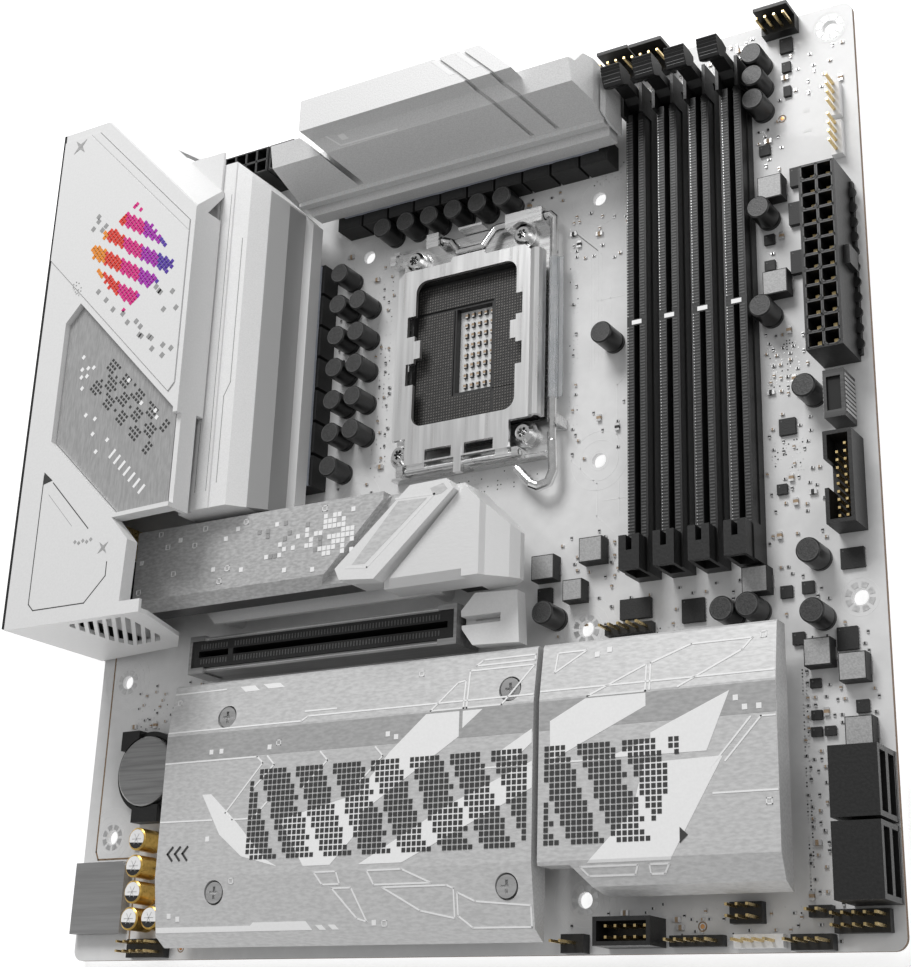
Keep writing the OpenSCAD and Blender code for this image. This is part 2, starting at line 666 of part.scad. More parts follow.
module pin_headers() {
  color("#232326") up() {
    fan_base(51, 115.5, 60.5, 120.6);
    box(51, 120.6, 0, 60.5, 121.6, 10.6);
    fan_base(61, 115.1, 70.8, 120.2);
    box(61, 120.2, 0, 70.8, 121.2, 10.6);
    fan_base(97.5, 116.6, 107, 120.6);
    box(97.5, 120.6, 0, 107, 121.6, 9.2);
    fan_base(96.4, -121.7, 106.2, -118.2);
    box(106.4, -118.1, 0, 119.2, -113, 2.5);
    box(100.6, -114.6, 0, 106, -112, 2.5);
    box(66.4, -120.5, 0, 79.8, -118, 2.5);
    box(81.6, -115.6, 0, 89.6, -110.8, 2.5);
    shroud(49.6, -120.6, 64.5, -114, 8.8);
    fan_base(38.2, -121.7, 44.4, -117.3);
    box(-100, -121.4, 0, -86.4, -116.4, 2.5);
    box(49.6, -45, 0, 62.6, -42.4, 2.5);
  }
}
module rgb_headers() {
  color("#efefed") up() {
    box(115, 87, 0, 118, 97, 2.5);
    box(115, 75.4, 0, 118, 85.4, 2.5);
    box(82.4, -121, 0, 94.4, -118, 2.5);
  }
}
module header_pins() {
  color("#d9c07a") up() {
    pins(52, 117.4, 4, 1, 3.2, 10.8);
    pins(62.1, 117, 4, 1, 3.2, 10.8);
    pins(98.4, 118.2, 4, 1, 3.2, 9.4);
    pins(97.6, -119.8, 4, 1, 3.2, 10.8);
    pins(107.8, -116.8, 5, 2, 2.5, 8.4);
    pins(102, -113.3, 2, 1, 2.5, 8.4);
    pins(67.9, -119.3, 5, 1, 2.5, 8.4);
    pins(83.2, -114.4, 3, 2, 2.5, 8.4);
    pins(52.6, -118.6, 5, 2, 2.4, 8);
    pins(39.4, -119.4, 2, 1, 3.2, 10.8);
    pins(-98.6, -120, 5, 2, 2.5, 8.4);
    pins(51, -43.7, 5, 1, 2.5, 8.4);
    pins(116.5, 88.6, 1, 4, 2.5, 8.4);
    pins(116.5, 76.8, 1, 4, 2.5, 8.4);
    pins(84.4, -119.5, 4, 1, 2.5, 8.4);
    pins(114.3, -24, 1, 9, 2.4, 8, 2);
    pins(116.3, -24, 1, 10, 2.4, 8, 2);
    power_pins(112.15, 19.85, 2, 12);
    power_pins(-78.1, 115.5, 4, 2);
    power_pins(-60.1, 115.5, 2, 2);
  }
}
module power_pins(x, y, nx, ny) {
  for (i = [0 : nx - 1])
    for (j = [0 : ny - 1])
      pin(x + i * 4.2, y + j * 4.2, 3, 10, 1);
}

// ---- lower left ----
module battery() {
  color("#cfd1d3") up() translate([-97.5, -70, 1.6]) rotate_extrude() polygon([[0, 0], [8.4, 0],
    [8.4, 0.6], [10, 0.9], [10, 3], [9.6, 3.3], [0, 3.3]]);
}
module battery_holder() {
  color("#232326") up() difference() {
    union() {
      post(-97.5, -70, 0, 3, 23.4);
      box(-107.6, -63.6, 0, -101, -58, 4.6);
      box(-101.6, -84.4, 0, -92, -79.6, 4.2);
    }
    post(-97.5, -70, 1.5, 8, 20.6);
  }
}
module audio_shield() {
  color("#9a9c9f") up() difference() {
    slab(0, 3.4) polygon([[-121.4, -95], [-103.6, -95], [-102.7, -96], [-102.7, -114.8],
      [-121.4, -114.8]]);
    slab(-1, 3) polygon([[-121, -95.4], [-103.8, -95.4], [-103.1, -96.2], [-103.1, -114.4],
      [-121, -114.4]]);
  }
}
module audio_capacitors() {
  color("#c9a24b") up() for (p = [[-95.4, -89.7], [-95.6, -97.1], [-95.2, -104.2], [-95.6, -111.4],
      [-88.2, -111.3]])
    can(p[0], p[1], 6.3, 7.7);
}
module chip(x, y, w, l, h = 1) {
  box(x - w / 2, y - l / 2, 0, x + w / 2, y + l / 2, h);
}
module chips() {
  color("#2e2f32") up() {
    chip(105.4, 72.4, 4.6, 5.4, 1.5);
    for (y = [61.8, 47.8]) chip(105.4, y, 6, 6.4, 1.5);
    box(-116, 117.4, 0, -112, 121.8, 18.4);
    for (i = [0 : 6]) chip(-59, 14 + i * cap_pitch, 5, 6);
    for (i = [0 : 7]) chip(-32 + i * 10, 102.3, 6, 5);
    chip(103.4, 113.3, 3.5, 4.5);
    chip(103.2, 106.5, 2.4, 3);
    chip(103.2, 99, 2, 3);
    chip(96.2, 82.8, 3, 3);
    chip(96.6, 56.2, 2.8, 2.8);
    chip(103.1, -38.3, 3, 3);
    chip(96.5, 48.7, 2.8, 2.8);
    chip(99.5, 3.5, 4.3, 4.3);
    chip(97.5, -12.7, 2.6, 2.6);
    chip(114.4, -32.4, 5.8, 5);
    chip(97.6, -38.8, 3, 3);
    chip(100.2, -50.5, 3, 3);
    chip(112.2, -51.7, 5, 5.5);
    chip(115, -67.9, 3, 3);
    chip(57.6, -38.5, 8.4, 5.2, 1.6);
    chip(73.2, -40.6, 6, 6);
    chip(103.9, -61.6, 2.6, 2.2);
    chip(103.9, -69.1, 2.6, 2.2);
    chip(103.7, -73, 2.6, 2.2);
    chip(107, -73, 2.6, 2.2);
    chip(31.4, -32.1, 4, 4, 1.4);
    chip(-112, -104.9, 9, 9, 2.6);
    chip(-60, -92, 6, 6);
  }
}

// ---- rear connectors, hidden by the cover ----
module rear_block(y0, y1, h) {
  box(-121.9, y0, 0, -104, y1, h);
}
module port_cut(y, z, w, h) {
  box(-124, y - w / 2, z, -108, y + w / 2, z + h);
}
// contact tongue in the middle of a port
module tongue(y, z, w, h) {
  box(-122.6, y - w / 2 + 1.2, z + h / 2 - 0.6, -107.5, y + w / 2 - 1.2, z + h / 2 + 0.6);
}
module usb_stack(y) {
  difference() {
    union() {
      rear_block(y - 7.2, y + 7.2, 31);
      box(-123.4, y - 7.2, 1, -121.9, y + 7.2, 31);
    }
    for (z = [3, 10.4, 17.8, 24.4]) port_cut(y, z, 12.6, 4.8);
  }
  for (z = [3, 10.4, 17.8, 24.4]) tongue(y, z, 12.6, 4.8);
}
module usb_ports() {
  color("#b5b7ba") up() for (y = [83, 63, 21]) usb_stack(y);
}
module network_port() {
  color("#b5b7ba") up() {
    difference() {
      union() {
        rear_block(35, 51, 31);
        box(-123.4, 35, 1, -121.9, 51, 31);
      }
      port_cut(43, 17, 12, 11.4);
      port_cut(43, 3, 12.6, 4.8);
      port_cut(43, 10, 12.6, 4.8);
    }
    for (z = [3, 10]) tongue(43, z, 12.6, 4.8);
  }
}
module video_ports() {
  color("#8f9194") up() {
    difference() {
      union() {
        rear_block(96.4, 114.6, 27);
        box(-123.4, 96.4, 1, -121.9, 114.6, 27);
      }
      port_cut(105.5, 4, 15.2, 5.2);
      port_cut(105.5, 17, 16.2, 5.2);
    }
    for (z = [4, 17]) tongue(105.5, z, 15.2, 5.2);
  }
}
module audio_jacks() {
  color("#2b2c2f") up() difference() {
    union() {
      box(-121.9, -32.6, 0, -109, -6, 26.4);
      for (y = [-12, -26.4])
        for (z = [7, 20])
          translate([-123.4, y, z]) rotate([0, 90, 0]) cylinder(h = 2, d = 8.4);
    }
    for (y = [-12, -26.4])
      for (z = [7, 20])
        translate([-125, y, z]) rotate([0, 90, 0]) cylinder(h = 13, d = 3.6);
  }
}
module antenna_connectors() {
  color("#c9a24b") up() for (p = [[3, 9], [-1.6, 21]]) {
    box(-121.9, p[0] - 2.2, 0, -112, p[0] + 2.2, p[1] + 3);
    translate([-127.4, p[0], p[1]]) rotate([0, 90, 0]) difference() {
      cylinder(h = 5.5, d = 6.2);
      translate([0, 0, -1]) cylinder(h = 4.5, d = 4.4);
    }
    translate([-127.2, p[0], p[1]]) rotate([0, 90, 0]) cylinder(h = 5.3, d = 1.2);
  }
}
module button(z) {
  translate([-123.6, 119.6, z]) rotate([0, 90, 0]) cylinder(h = 6.6, d = 3.8);
}
module bios_button() {
  color("#d8d8d6") up() button(16);
}
module cmos_button() {
  color("#3a3a3d") up() button(7);
}

// ---- underside ----
module tails(x, y, nx, ny, px, py, d = 1) {
  for (i = [0 : nx - 1])
    for (j = [0 : ny - 1])
      post(x + i * px, y + j * py, -tail_l, 0, d);
}
module solder_tails() {
  color("#c8c9cb") {
    tails(112.15, 19.85, 2, 12, 4.2, 4.2, 1.4);
    tails(-78.1, 115.5, 4, 2, 4.2, 4.2, 1.4);
    tails(-60.1, 115.5, 2, 2, 4.2, 4.2, 1.4);
    for (k = [0 : 3]) tails(slot_x + k * slot_pitch - 1.9, -26, 2, 12, 3.8, 11.4);
    tails(-74, -41.4, 17, 2, 5, 4);
    tails(112, -108, 1, 6, 1, 5);
    tails(113.3, -23, 2, 6, 3, 3.4);
    tails(-117, -30, 2, 13, 8, 11.5);
    tails(52.6, -118.6, 5, 2, 2.54, 2.54);
    tails(107.8, -116.8, 5, 2, 2.54, 2.54);
    tails(-98.6, -120, 5, 2, 2.54, 2.54);
    for (i = [0 : 6]) tails(-36.2, 11.2 + i * cap_pitch, 1, 2, 1, 2.4);
    for (i = [0 : 5]) tails(-22.8 + i * 8.2, 85.3, 2, 1, 2.4, 1);
  }
}

// ---- one line per node ----
pcb();
io_shield();
io_cover();
io_cover_panel();
io_cover_badge();
vrm_heatsink_left();
vrm_heatsink_top();
thermal_pads();
inductors();
polymer_capacitors();
cpu_socket();
socket_contacts();
socket_frame();
load_plate();
load_lever();
lever_sleeve();
socket_screws();
socket_backplate();
memory_slot(0);  // memory_slot_1
memory_slot(1);  // memory_slot_2
memory_slot(2);  // memory_slot_3
memory_slot(3);  // memory_slot_4
memory_latch(0);  // memory_latch_1
memory_latch(1);  // memory_latch_2
memory_latch(2);  // memory_latch_3
memory_latch(3);  // memory_latch_4
atx_power_connector();
cpu_power_connectors();
pcie_slot();
pcie_armor();
pcie_latch();
m2_heatsink();
m2_clip();
m2_bracket();
m2_connectors();
m2_latch_1();
m2_latch_2();
chipset();
chipset_heatsink();
m2_cover_plate();
heatsink_screws();
sata_connectors();
usb3_header();
usb_c_header();
pin_headers();
rgb_headers();
header_pins();
battery();
battery_holder();
audio_shield();
audio_capacitors();
chips();
usb_ports();
network_port();
video_ports();
audio_jacks();
antenna_connectors();
bios_button();
cmos_button();
solder_tails();
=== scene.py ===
# Looks of the white motherboard: finishes for the CAD nodes, small parts and prints on their surfaces, with
# painted shade on the drive heatsink's front and in the cover's grooves.
import math
import random

import bmesh
import bpy
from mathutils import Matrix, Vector


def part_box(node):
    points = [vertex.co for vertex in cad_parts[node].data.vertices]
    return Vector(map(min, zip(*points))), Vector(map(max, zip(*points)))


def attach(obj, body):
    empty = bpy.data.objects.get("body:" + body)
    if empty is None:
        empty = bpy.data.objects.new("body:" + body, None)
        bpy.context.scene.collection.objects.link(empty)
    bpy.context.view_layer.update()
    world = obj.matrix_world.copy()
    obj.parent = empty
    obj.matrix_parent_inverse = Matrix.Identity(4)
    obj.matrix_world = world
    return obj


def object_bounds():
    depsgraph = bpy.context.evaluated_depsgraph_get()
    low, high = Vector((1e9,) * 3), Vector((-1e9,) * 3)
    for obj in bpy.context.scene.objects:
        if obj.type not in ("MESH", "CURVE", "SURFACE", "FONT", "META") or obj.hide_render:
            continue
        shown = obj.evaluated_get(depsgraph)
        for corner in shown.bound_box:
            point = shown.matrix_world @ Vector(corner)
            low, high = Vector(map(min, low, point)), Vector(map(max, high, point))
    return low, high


MM = 0.001
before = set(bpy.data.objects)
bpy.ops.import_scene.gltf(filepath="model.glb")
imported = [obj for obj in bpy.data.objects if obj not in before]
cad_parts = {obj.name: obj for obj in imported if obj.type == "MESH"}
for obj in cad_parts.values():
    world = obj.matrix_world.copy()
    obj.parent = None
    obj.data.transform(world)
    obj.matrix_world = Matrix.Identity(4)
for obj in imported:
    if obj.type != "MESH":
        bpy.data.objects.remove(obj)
cad_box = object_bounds()
scene = bpy.context.scene
rng = random.Random(11)
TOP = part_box("pcb")[1].z / MM
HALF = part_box("pcb")[1].x / MM


def node_top(node):
    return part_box(node)[1].z / MM


# ---- camera, lights, floor ----
def make_camera():
    data = bpy.data.cameras.new("camera")
    data.sensor_width = 36.0
    data.lens = 64.07
    data.shift_x = -0.0088
    data.shift_y = -0.0587
    data.clip_start = 0.01
    data.clip_end = 20.0
    data.dof.use_dof = False
    cam = bpy.data.objects.new("camera", data)
    cam.location = (0.2426, -0.1523, 0.3832)
    cam.rotation_euler = [math.radians(a) for a in (22.046, 31.3128, 2.0239)]
    scene.collection.objects.link(cam)
    scene.camera = cam


def area_light(name, place, size, energy, color=(1, 1, 1)):
    data = bpy.data.lights.new(name, "AREA")
    data.shape = "DISK"
    data.size = size
    data.energy = energy
    data.color = color
    lamp = bpy.data.objects.new(name, data)
    lamp.location = place
    aim = Vector((0, 0, 0)) - Vector(place)
    lamp.rotation_euler = aim.to_track_quat("-Z", "Y").to_euler()
    scene.collection.objects.link(lamp)


def make_stage():
    area_light("key_light", (-0.15, 0.85, 0.75), 0.55, 9)
    area_light("fill_light", (0.9, 0.2, 0.8), 0.8, 1.8)
    area_light("low_light", (-0.8, -0.5, 0.6), 0.9, 0.8)
    world = bpy.data.worlds.new("studio")
    world.use_nodes = True
    back = world.node_tree.nodes["Background"]
    back.inputs["Color"].default_value = (1, 1, 1, 1)
    back.inputs["Strength"].default_value = 0.36
    scene.world = world
    scene.view_settings.view_transform = "Standard"
    bpy.ops.mesh.primitive_plane_add(size=8, location=(0, 0, cad_box[0].z - 0.0004))
    floor = bpy.context.object
    floor.name = "floor"
    floor.data.materials.append(surface("floor_white", 0.95, 0.93, 0.9, grain=3))
    glow = floor.data.materials[0].node_tree.nodes["Principled BSDF"]
    glow.inputs["Emission Color"].default_value = (1, 1, 1, 1)
    glow.inputs["Emission Strength"].default_value = 0.45


# ---- materials ----
def rgb(value):
    return tuple(value) + (1,) if isinstance(value, (tuple, list)) else (value, value, value, 1)


def surface(name, light, dark, rough, metal=0.0, grain=900.0, stretch=(1, 1, 1), bump=0.0, coat=0.0,
            spread=0.08, detail=3.0):
    """Noise in the object's own space drives the tone, the roughness and a fine relief."""
    mat = bpy.data.materials.new(name)
    mat.use_nodes = True
    tree = mat.node_tree
    shader = tree.nodes["Principled BSDF"]
    place = tree.nodes.new("ShaderNodeTexCoord")
    fit = tree.nodes.new("ShaderNodeMapping")
    fit.inputs["Scale"].default_value = stretch
    noise = tree.nodes.new("ShaderNodeTexNoise")
    noise.inputs["Scale"].default_value = grain
    noise.inputs["Detail"].default_value = detail
    ramp = tree.nodes.new("ShaderNodeValToRGB")
    ramp.color_ramp.elements[0].position = 0.35
    ramp.color_ramp.elements[0].color = rgb(dark)
    ramp.color_ramp.elements[1].position = 0.65
    ramp.color_ramp.elements[1].color = rgb(light)
    polish = tree.nodes.new("ShaderNodeMapRange")
    polish.inputs["To Min"].default_value = max(rough - spread, 0.02)
    polish.inputs["To Max"].default_value = min(rough + spread, 1.0)
    link = tree.links.new
    link(place.outputs["Object"], fit.inputs["Vector"])
    link(fit.outputs["Vector"], noise.inputs["Vector"])
    link(noise.outputs["Fac"], ramp.inputs["Fac"])
    link(ramp.outputs["Color"], shader.inputs["Base Color"])
    link(noise.outputs["Fac"], polish.inputs["Value"])
    link(polish.outputs["Result"], shader.inputs["Roughness"])
    shader.inputs["Metallic"].default_value = metal
    shader.inputs["Coat Weight"].default_value = coat
    if bump:
        relief = tree.nodes.new("ShaderNodeBump")
        relief.inputs["Strength"].default_value = bump
        relief.inputs["Distance"].default_value = 0.00015
        link(noise.outputs["Fac"], relief.inputs["Height"])
        link(relief.outputs["Normal"], shader.inputs["Normal"])
    return mat


def masked(base, direction, offset, color):
    """Beyond the plane direction . point = offset (metres), the finish takes another colour."""
    tree = base.node_tree
    shader = tree.nodes["Principled BSDF"]
    before = shader.inputs["Base Color"].links[0].from_socket
    place = tree.nodes.new("ShaderNodeTexCoord")
    reach = tree.nodes.new("ShaderNodeVectorMath")
    reach.operation = "DOT_PRODUCT"
    reach.inputs[1].default_value = direction
    far = tree.nodes.new("ShaderNodeMath")
    far.operation = "GREATER_THAN"
    far.inputs[1].default_value = offset
    mix = tree.nodes.new("ShaderNodeMix")
    mix.data_type = "RGBA"
    second = next(s for s in mix.inputs if s.type == "RGBA" and s.name == "B")
    first = next(s for s in mix.inputs if s.type == "RGBA" and s.name == "A")
    out = next(s for s in mix.outputs if s.type == "RGBA")
    second.default_value = rgb(color)
    link = tree.links.new
    link(place.outputs["Object"], reach.inputs[0])
    link(reach.outputs["Value"], far.inputs[0])
    link(far.outputs["Value"], mix.inputs["Factor"])
    link(before, first)
    link(out, shader.inputs["Base Color"])
    return base


BRUSH_X = (0.04, 1, 1)
BRUSH_Y = (1, 0.04, 1)
M = {
    "mask": surface("mask", 0.78, 0.74, 0.42, grain=260, bump=0.15, coat=0.15),
    "edge": surface("edge", (0.2, 0.13, 0.08), (0.14, 0.09, 0.06), 0.7),
    "white": surface("white", 0.8, 0.77, 0.42, grain=1600, bump=0.05),
    "white_art": surface("white_art", 0.93, 0.9, 0.5, grain=1500),
    "paint": surface("paint", 0.8, 0.7, 0.5, metal=0.15, grain=2600, bump=0.3),
    "silver_paint": surface("silver_paint", 0.68, 0.57, 0.45, metal=0.25, grain=1500, stretch=(0.35, 1, 1),
                            bump=0.2),
    "panel": surface("panel", 0.52, 0.43, 0.4, metal=0.5, grain=2200, stretch=(1, 0.15, 1), bump=0.1),
    "band": surface("band", 0.47, 0.39, 0.5, metal=0.2, grain=1500, stretch=(0.35, 1, 1), bump=0.15),
    "dots": surface("dots", 0.06, 0.045, 0.55, metal=0.2, grain=1800),
    "steel": surface("steel", 0.78, 0.68, 0.28, metal=1.0, grain=900, stretch=BRUSH_X, bump=0.05),
    "steel_y": surface("steel_y", 0.9, 0.82, 0.3, metal=1.0, grain=900, stretch=BRUSH_Y, bump=0.05),
    "bright": surface("bright", 0.85, 0.78, 0.16, metal=1.0, grain=700),
    "tin": surface("tin", 0.75, 0.65, 0.35, metal=1.0, grain=1200),
    "dark_steel": surface("dark_steel", 0.1, 0.07, 0.45, metal=0.7, grain=1200, stretch=BRUSH_X),
    "black": surface("black", 0.012, 0.007, 0.45, grain=1500, bump=0.25),
    "dark": surface("dark", 0.026, 0.017, 0.5, grain=1500, bump=0.25),
    "rib": surface("rib", 0.1, 0.06, 0.4, grain=1500),
    "gap": surface("gap", 0.01, 0.006, 0.7, grain=900),
    "ferrite": surface("ferrite", 0.028, 0.017, 0.6, grain=2400, bump=0.5),
    "choke": surface("choke", 0.44, 0.35, 0.5, metal=0.2, grain=2200, bump=0.4),
    "can": surface("can", 0.015, 0.009, 0.33, grain=1200),
    "can_top": surface("can_top", 0.075, 0.04, 0.4, metal=0.4, grain=3200, bump=0.4),
    "gold": surface("gold", (0.75, 0.5, 0.14), (0.62, 0.4, 0.1), 0.3, metal=0.9, grain=900),
    "contact": surface("contact", (0.83, 0.66, 0.34), (0.7, 0.52, 0.24), 0.28, metal=1.0, grain=1200),
    "pad": surface("pad", (0.5, 0.53, 0.6), (0.42, 0.45, 0.52), 0.85, grain=700, bump=0.3),
    "package": surface("package", 0.02, 0.012, 0.55, grain=2600, bump=0.35),
    "coin": surface("coin", 0.4, 0.3, 0.32, metal=0.85, grain=1500, stretch=BRUSH_X),
    "die": surface("die", 0.3, 0.22, 0.25, metal=0.8, grain=900),
    "shield": surface("shield", 0.42, 0.36, 0.36, metal=0.8, grain=1300, stretch=BRUSH_X, bump=0.1),
    "print": surface("print", 0.36, 0.31, 0.6, grain=1800),
    "faint": surface("faint", 0.82, 0.78, 0.55, grain=1800),
    "tan": surface("tan", (0.45, 0.33, 0.22), (0.34, 0.24, 0.15), 0.5, grain=2600),
    "copper": surface("copper", (0.78, 0.4, 0.16), (0.6, 0.3, 0.12), 0.3, metal=0.9, grain=900),
    "line_brown": surface("line_brown", (0.3, 0.2, 0.12), (0.22, 0.15, 0.09), 0.6, grain=1200),
    "field": surface("field", (0.2, 0.19, 0.18), (0.12, 0.115, 0.11), 0.4, metal=0.6, grain=1500),
    "film": surface("film", (0.94, 0.95, 0.96), (0.88, 0.9, 0.92), 0.12, grain=200, coat=0.5),
}
M["drive_sink"] = surface("drive_sink", 0.6, 0.45, 0.42, metal=0.25, grain=1500, stretch=(0.4, 1, 1),
                          bump=0.2)
# painted shade: below 22.9 mm the drive heatsink is coloured near black for the shade on its front chamfer;
# the next mask is its own white paint beyond a slanted line
masked(M["drive_sink"], (0, 0, -1), -0.0229, 0.07)
masked(M["drive_sink"], (0.67, -0.74, 0), 0.0105, 0.78)
M["left_sink"] = surface("left_sink", 0.88, 0.82, 0.45, metal=0.1, grain=2600, bump=0.25)
masked(M["left_sink"], (1, 0, 0), -0.0503, 0.36)
masked(M["left_sink"], (1, 0, 0), -0.0462, 0.72)
M["armor"] = surface("armor", 0.42, 0.3, 0.35, metal=0.8, grain=1200, stretch=BRUSH_X)
M["port_blue"] = surface("port_blue", (0.03, 0.12, 0.5), (0.02, 0.09, 0.4), 0.45)
M["port_green"] = surface("port_green", (0.2, 0.5, 0.08), (0.15, 0.4, 0.06), 0.45)
M["port_red"] = surface("port_red", (0.6, 0.12, 0.16), (0.5, 0.09, 0.12), 0.45)
film_shader = M["film"].node_tree.nodes["Principled BSDF"]
film_shader.inputs["Transmission Weight"].default_value = 0.85
film_shader.inputs["IOR"].default_value = 1.3

FINISH = {
    "pcb": "mask", "io_shield": "black", "io_cover": "white", "io_cover_panel": "panel",
    "io_cover_badge": "white", "vrm_heatsink_left": "left_sink", "vrm_heatsink_top": "paint",
    "thermal_pads": "pad", "inductors": "ferrite", "polymer_capacitors": "can", "cpu_socket": "dark",
    "socket_contacts": "dark", "socket_frame": "steel", "load_plate": "steel_y",
    "load_lever": "bright", "lever_sleeve": "film", "socket_screws": "bright",
    "socket_backplate": "dark_steel", "atx_power_connector": "black", "cpu_power_connectors": "black",
    "pcie_slot": "black", "pcie_armor": "armor", "pcie_latch": "white", "m2_heatsink": "drive_sink",
    "m2_clip": "white", "m2_bracket": "white", "m2_connectors": "black", "m2_latch_1": "dark",
    "m2_latch_2": "dark", "chipset": "die", "chipset_heatsink": "silver_paint",
    "m2_cover_plate": "silver_paint", "heatsink_screws": "steel", "sata_connectors": "black",
    "usb3_header": "black", "usb_c_header": "dark_steel", "pin_headers": "black", "rgb_headers": "white",
    "header_pins": "contact", "battery": "coin", "battery_holder": "black", "audio_shield": "shield",
    "audio_capacitors": "gold", "chips": "package", "usb_ports": "tin", "network_port": "tin",
    "video_ports": "tin", "audio_jacks": "black", "antenna_connectors": "contact",
    "bios_button": "white", "cmos_button": "dark", "solder_tails": "tin",
}


def dress_nodes():
    for name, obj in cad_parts.items():
        finish = FINISH.get(name) or ("black" if name.startswith("memory") else None)
        obj.data.materials.clear()
        obj.data.materials.append(M[finish])


# ---- building small pieces ----
class Piece:
    """Collects small solids, in millimetres, and makes them one object."""

    def __init__(self, name, body="board"):
        self.name, self.body = name, body
        self.verts, self.faces, self.marks, self.used = [], [], [], []

    def finish_index(self, finish):
        if finish not in self.used:
            self.used.append(finish)
        return self.used.index(finish)

    def prism(self, points, low, high, finish):
        """points are [x, y]; low and high are heights, or functions of x and y."""
        k, n = len(self.verts), len(points)
        mark = self.finish_index(finish)
        turn = sum(a[0] * b[1] - b[0] * a[1] for a, b in zip(points, points[1:] + points[:1]))
        pts = points if turn > 0 else points[::-1]
        for level in (low, high):
            for x, y in pts:
                z = level(x, y) if callable(level) else level
                self.verts.append((x * MM, y * MM, z * MM))
        self.faces.append([k + n - 1 - i for i in range(n)])
        self.faces.append([k + n + i for i in range(n)])
        for i in range(n):
            j = (i + 1) % n
            self.faces.append([k + i, k + j, k + n + j, k + n + i])
        self.marks += [mark] * (n + 2)

    def box(self, x0, y0, z0, x1, y1, z1, finish):
        self.prism([(x0, y0), (x1, y0), (x1, y1), (x0, y1)], z0, z1, finish)

    def disc(self, x, y, r, z0, z1, finish, sides=20, inner=0.0, start=0.0, sweep=360.0):
        """A disc, a ring, or an arc of a ring."""
        def at(radius, angle):
            a = math.radians(angle)
            return (x + radius * math.cos(a), y + radius * math.sin(a))
        if inner == 0.0:
            self.prism([at(r, start + sweep * i / sides) for i in range(sides)], z0, z1, finish)
            return
        for i in range(sides):
            a, b = start + sweep * i / sides, start + sweep * (i + 1) / sides
            self.prism([at(inner, a), at(r, a), at(r, b), at(inner, b)], z0, z1, finish)

    def line(self, points, width, z0, z1, finish, closed=False):
        pts = points + points[:1] if closed else points
        for (ax, ay), (bx, by) in zip(pts, pts[1:]):
            size = math.hypot(bx - ax, by - ay)
            ux, uy = (bx - ax) / size * width / 2, (by - ay) / size * width / 2
            self.prism([(ax - ux + uy, ay - uy - ux), (bx + ux + uy, by + uy - ux),
                        (bx + ux - uy, by + uy + ux), (ax - ux - uy, ay - uy + ux)], z0, z1, finish)

    def make(self, slot=None, bevel=0.0):
        mesh = bpy.data.meshes.new(self.name)
        mesh.from_pydata(self.verts, [], self.faces)
        for finish in self.used:
            mesh.materials.append(M[finish])
        mesh.polygons.foreach_set("material_index", self.marks)
        mesh.update()
        obj = bpy.data.objects.new(self.name, mesh)
        scene.collection.objects.link(obj)
        if bevel:
            soft = obj.modifiers.new("soft_edges", "BEVEL")
            soft.width = bevel * MM
            soft.segments = 1
        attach(obj, self.body)
        return obj


def islands(node):
    """[x0, y0, z0, x1, y1, z1] of each separate solid of a CAD node, in millimetres."""
    bm = bmesh.new()
    bm.from_mesh(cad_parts[node].data)
    bmesh.ops.remove_doubles(bm, verts=bm.verts, dist=1e-6)
    seen, found = set(), []
    for first in bm.verts:
        if first in seen:
            continue
        group, todo = [], [first]
        seen.add(first)
        while todo:
            v = todo.pop()
            group.append(v.co / MM)
            for e in v.link_edges:
                w = e.other_vert(v)
                if w not in seen:
                    seen.add(w)
                    todo.append(w)
        low = [min(c[i] for c in group) for i in range(3)]
        high = [max(c[i] for c in group) for i in range(3)]
        found.append(low + high)
    bm.free()
    return found


# nodes whose solids stand apart on the board, and nodes that fill their whole box
MANY_SOLIDS = ("chips", "inductors", "polymer_capacitors", "pin_headers", "rgb_headers", "sata_connectors",
               "audio_capacitors")
ONE_PLACE = ("audio_shield", "battery_holder", "usb3_header", "usb_c_header", "atx_power_connector",
             "socket_frame", "pcie_armor", "memory_slot_1", "memory_slot_2", "memory_slot_3",
             "memory_slot_4", "cpu_power_connectors", "vrm_heatsink_top", "vrm_heatsink_left", "io_cover",
             "m2_bracket", "m2_connectors", "m2_cover_plate", "chipset_heatsink", "chipset")
taken = []


def note_taken():
    for node in MANY_SOLIDS:
        taken.extend((p[0], p[1], p[3], p[4]) for p in islands(node))
    for node in ONE_PLACE:
        low, high = (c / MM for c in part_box(node))
        taken.append((low.x, low.y, high.x, high.y))
    for x, y in HOLES:
        taken.append((x - 4.6, y - 4.6, x + 4.6, y + 4.6))
    for x, y in COOLER_HOLES:
        taken.append((x - 3.2, y - 3.2, x + 3.2, y + 3.2))


def is_free(x, y, w, l, gap=0.35):
    if abs(x) + w > HALF - 1.5 or abs(y) + l > HALF - 1.5:
        return False
    return all(x + w + gap < a or x - w - gap > c or y + l + gap < b or y - l - gap > d
               for a, b, c, d in taken)


HOLES = [(115.57, 115.57), (115.57, -41.91), (43.18, -41.91), (43.18, 115.57), (-111.76, -41.91),
         (-111.76, -87.63), (-88.9, 115.57), (43.18, -109.22)]
COOLER_HOLES = [(7.6 + sx * 39, 42.4 + sy * 39) for sx in (-1, 1) for sy in (-1, 1)]


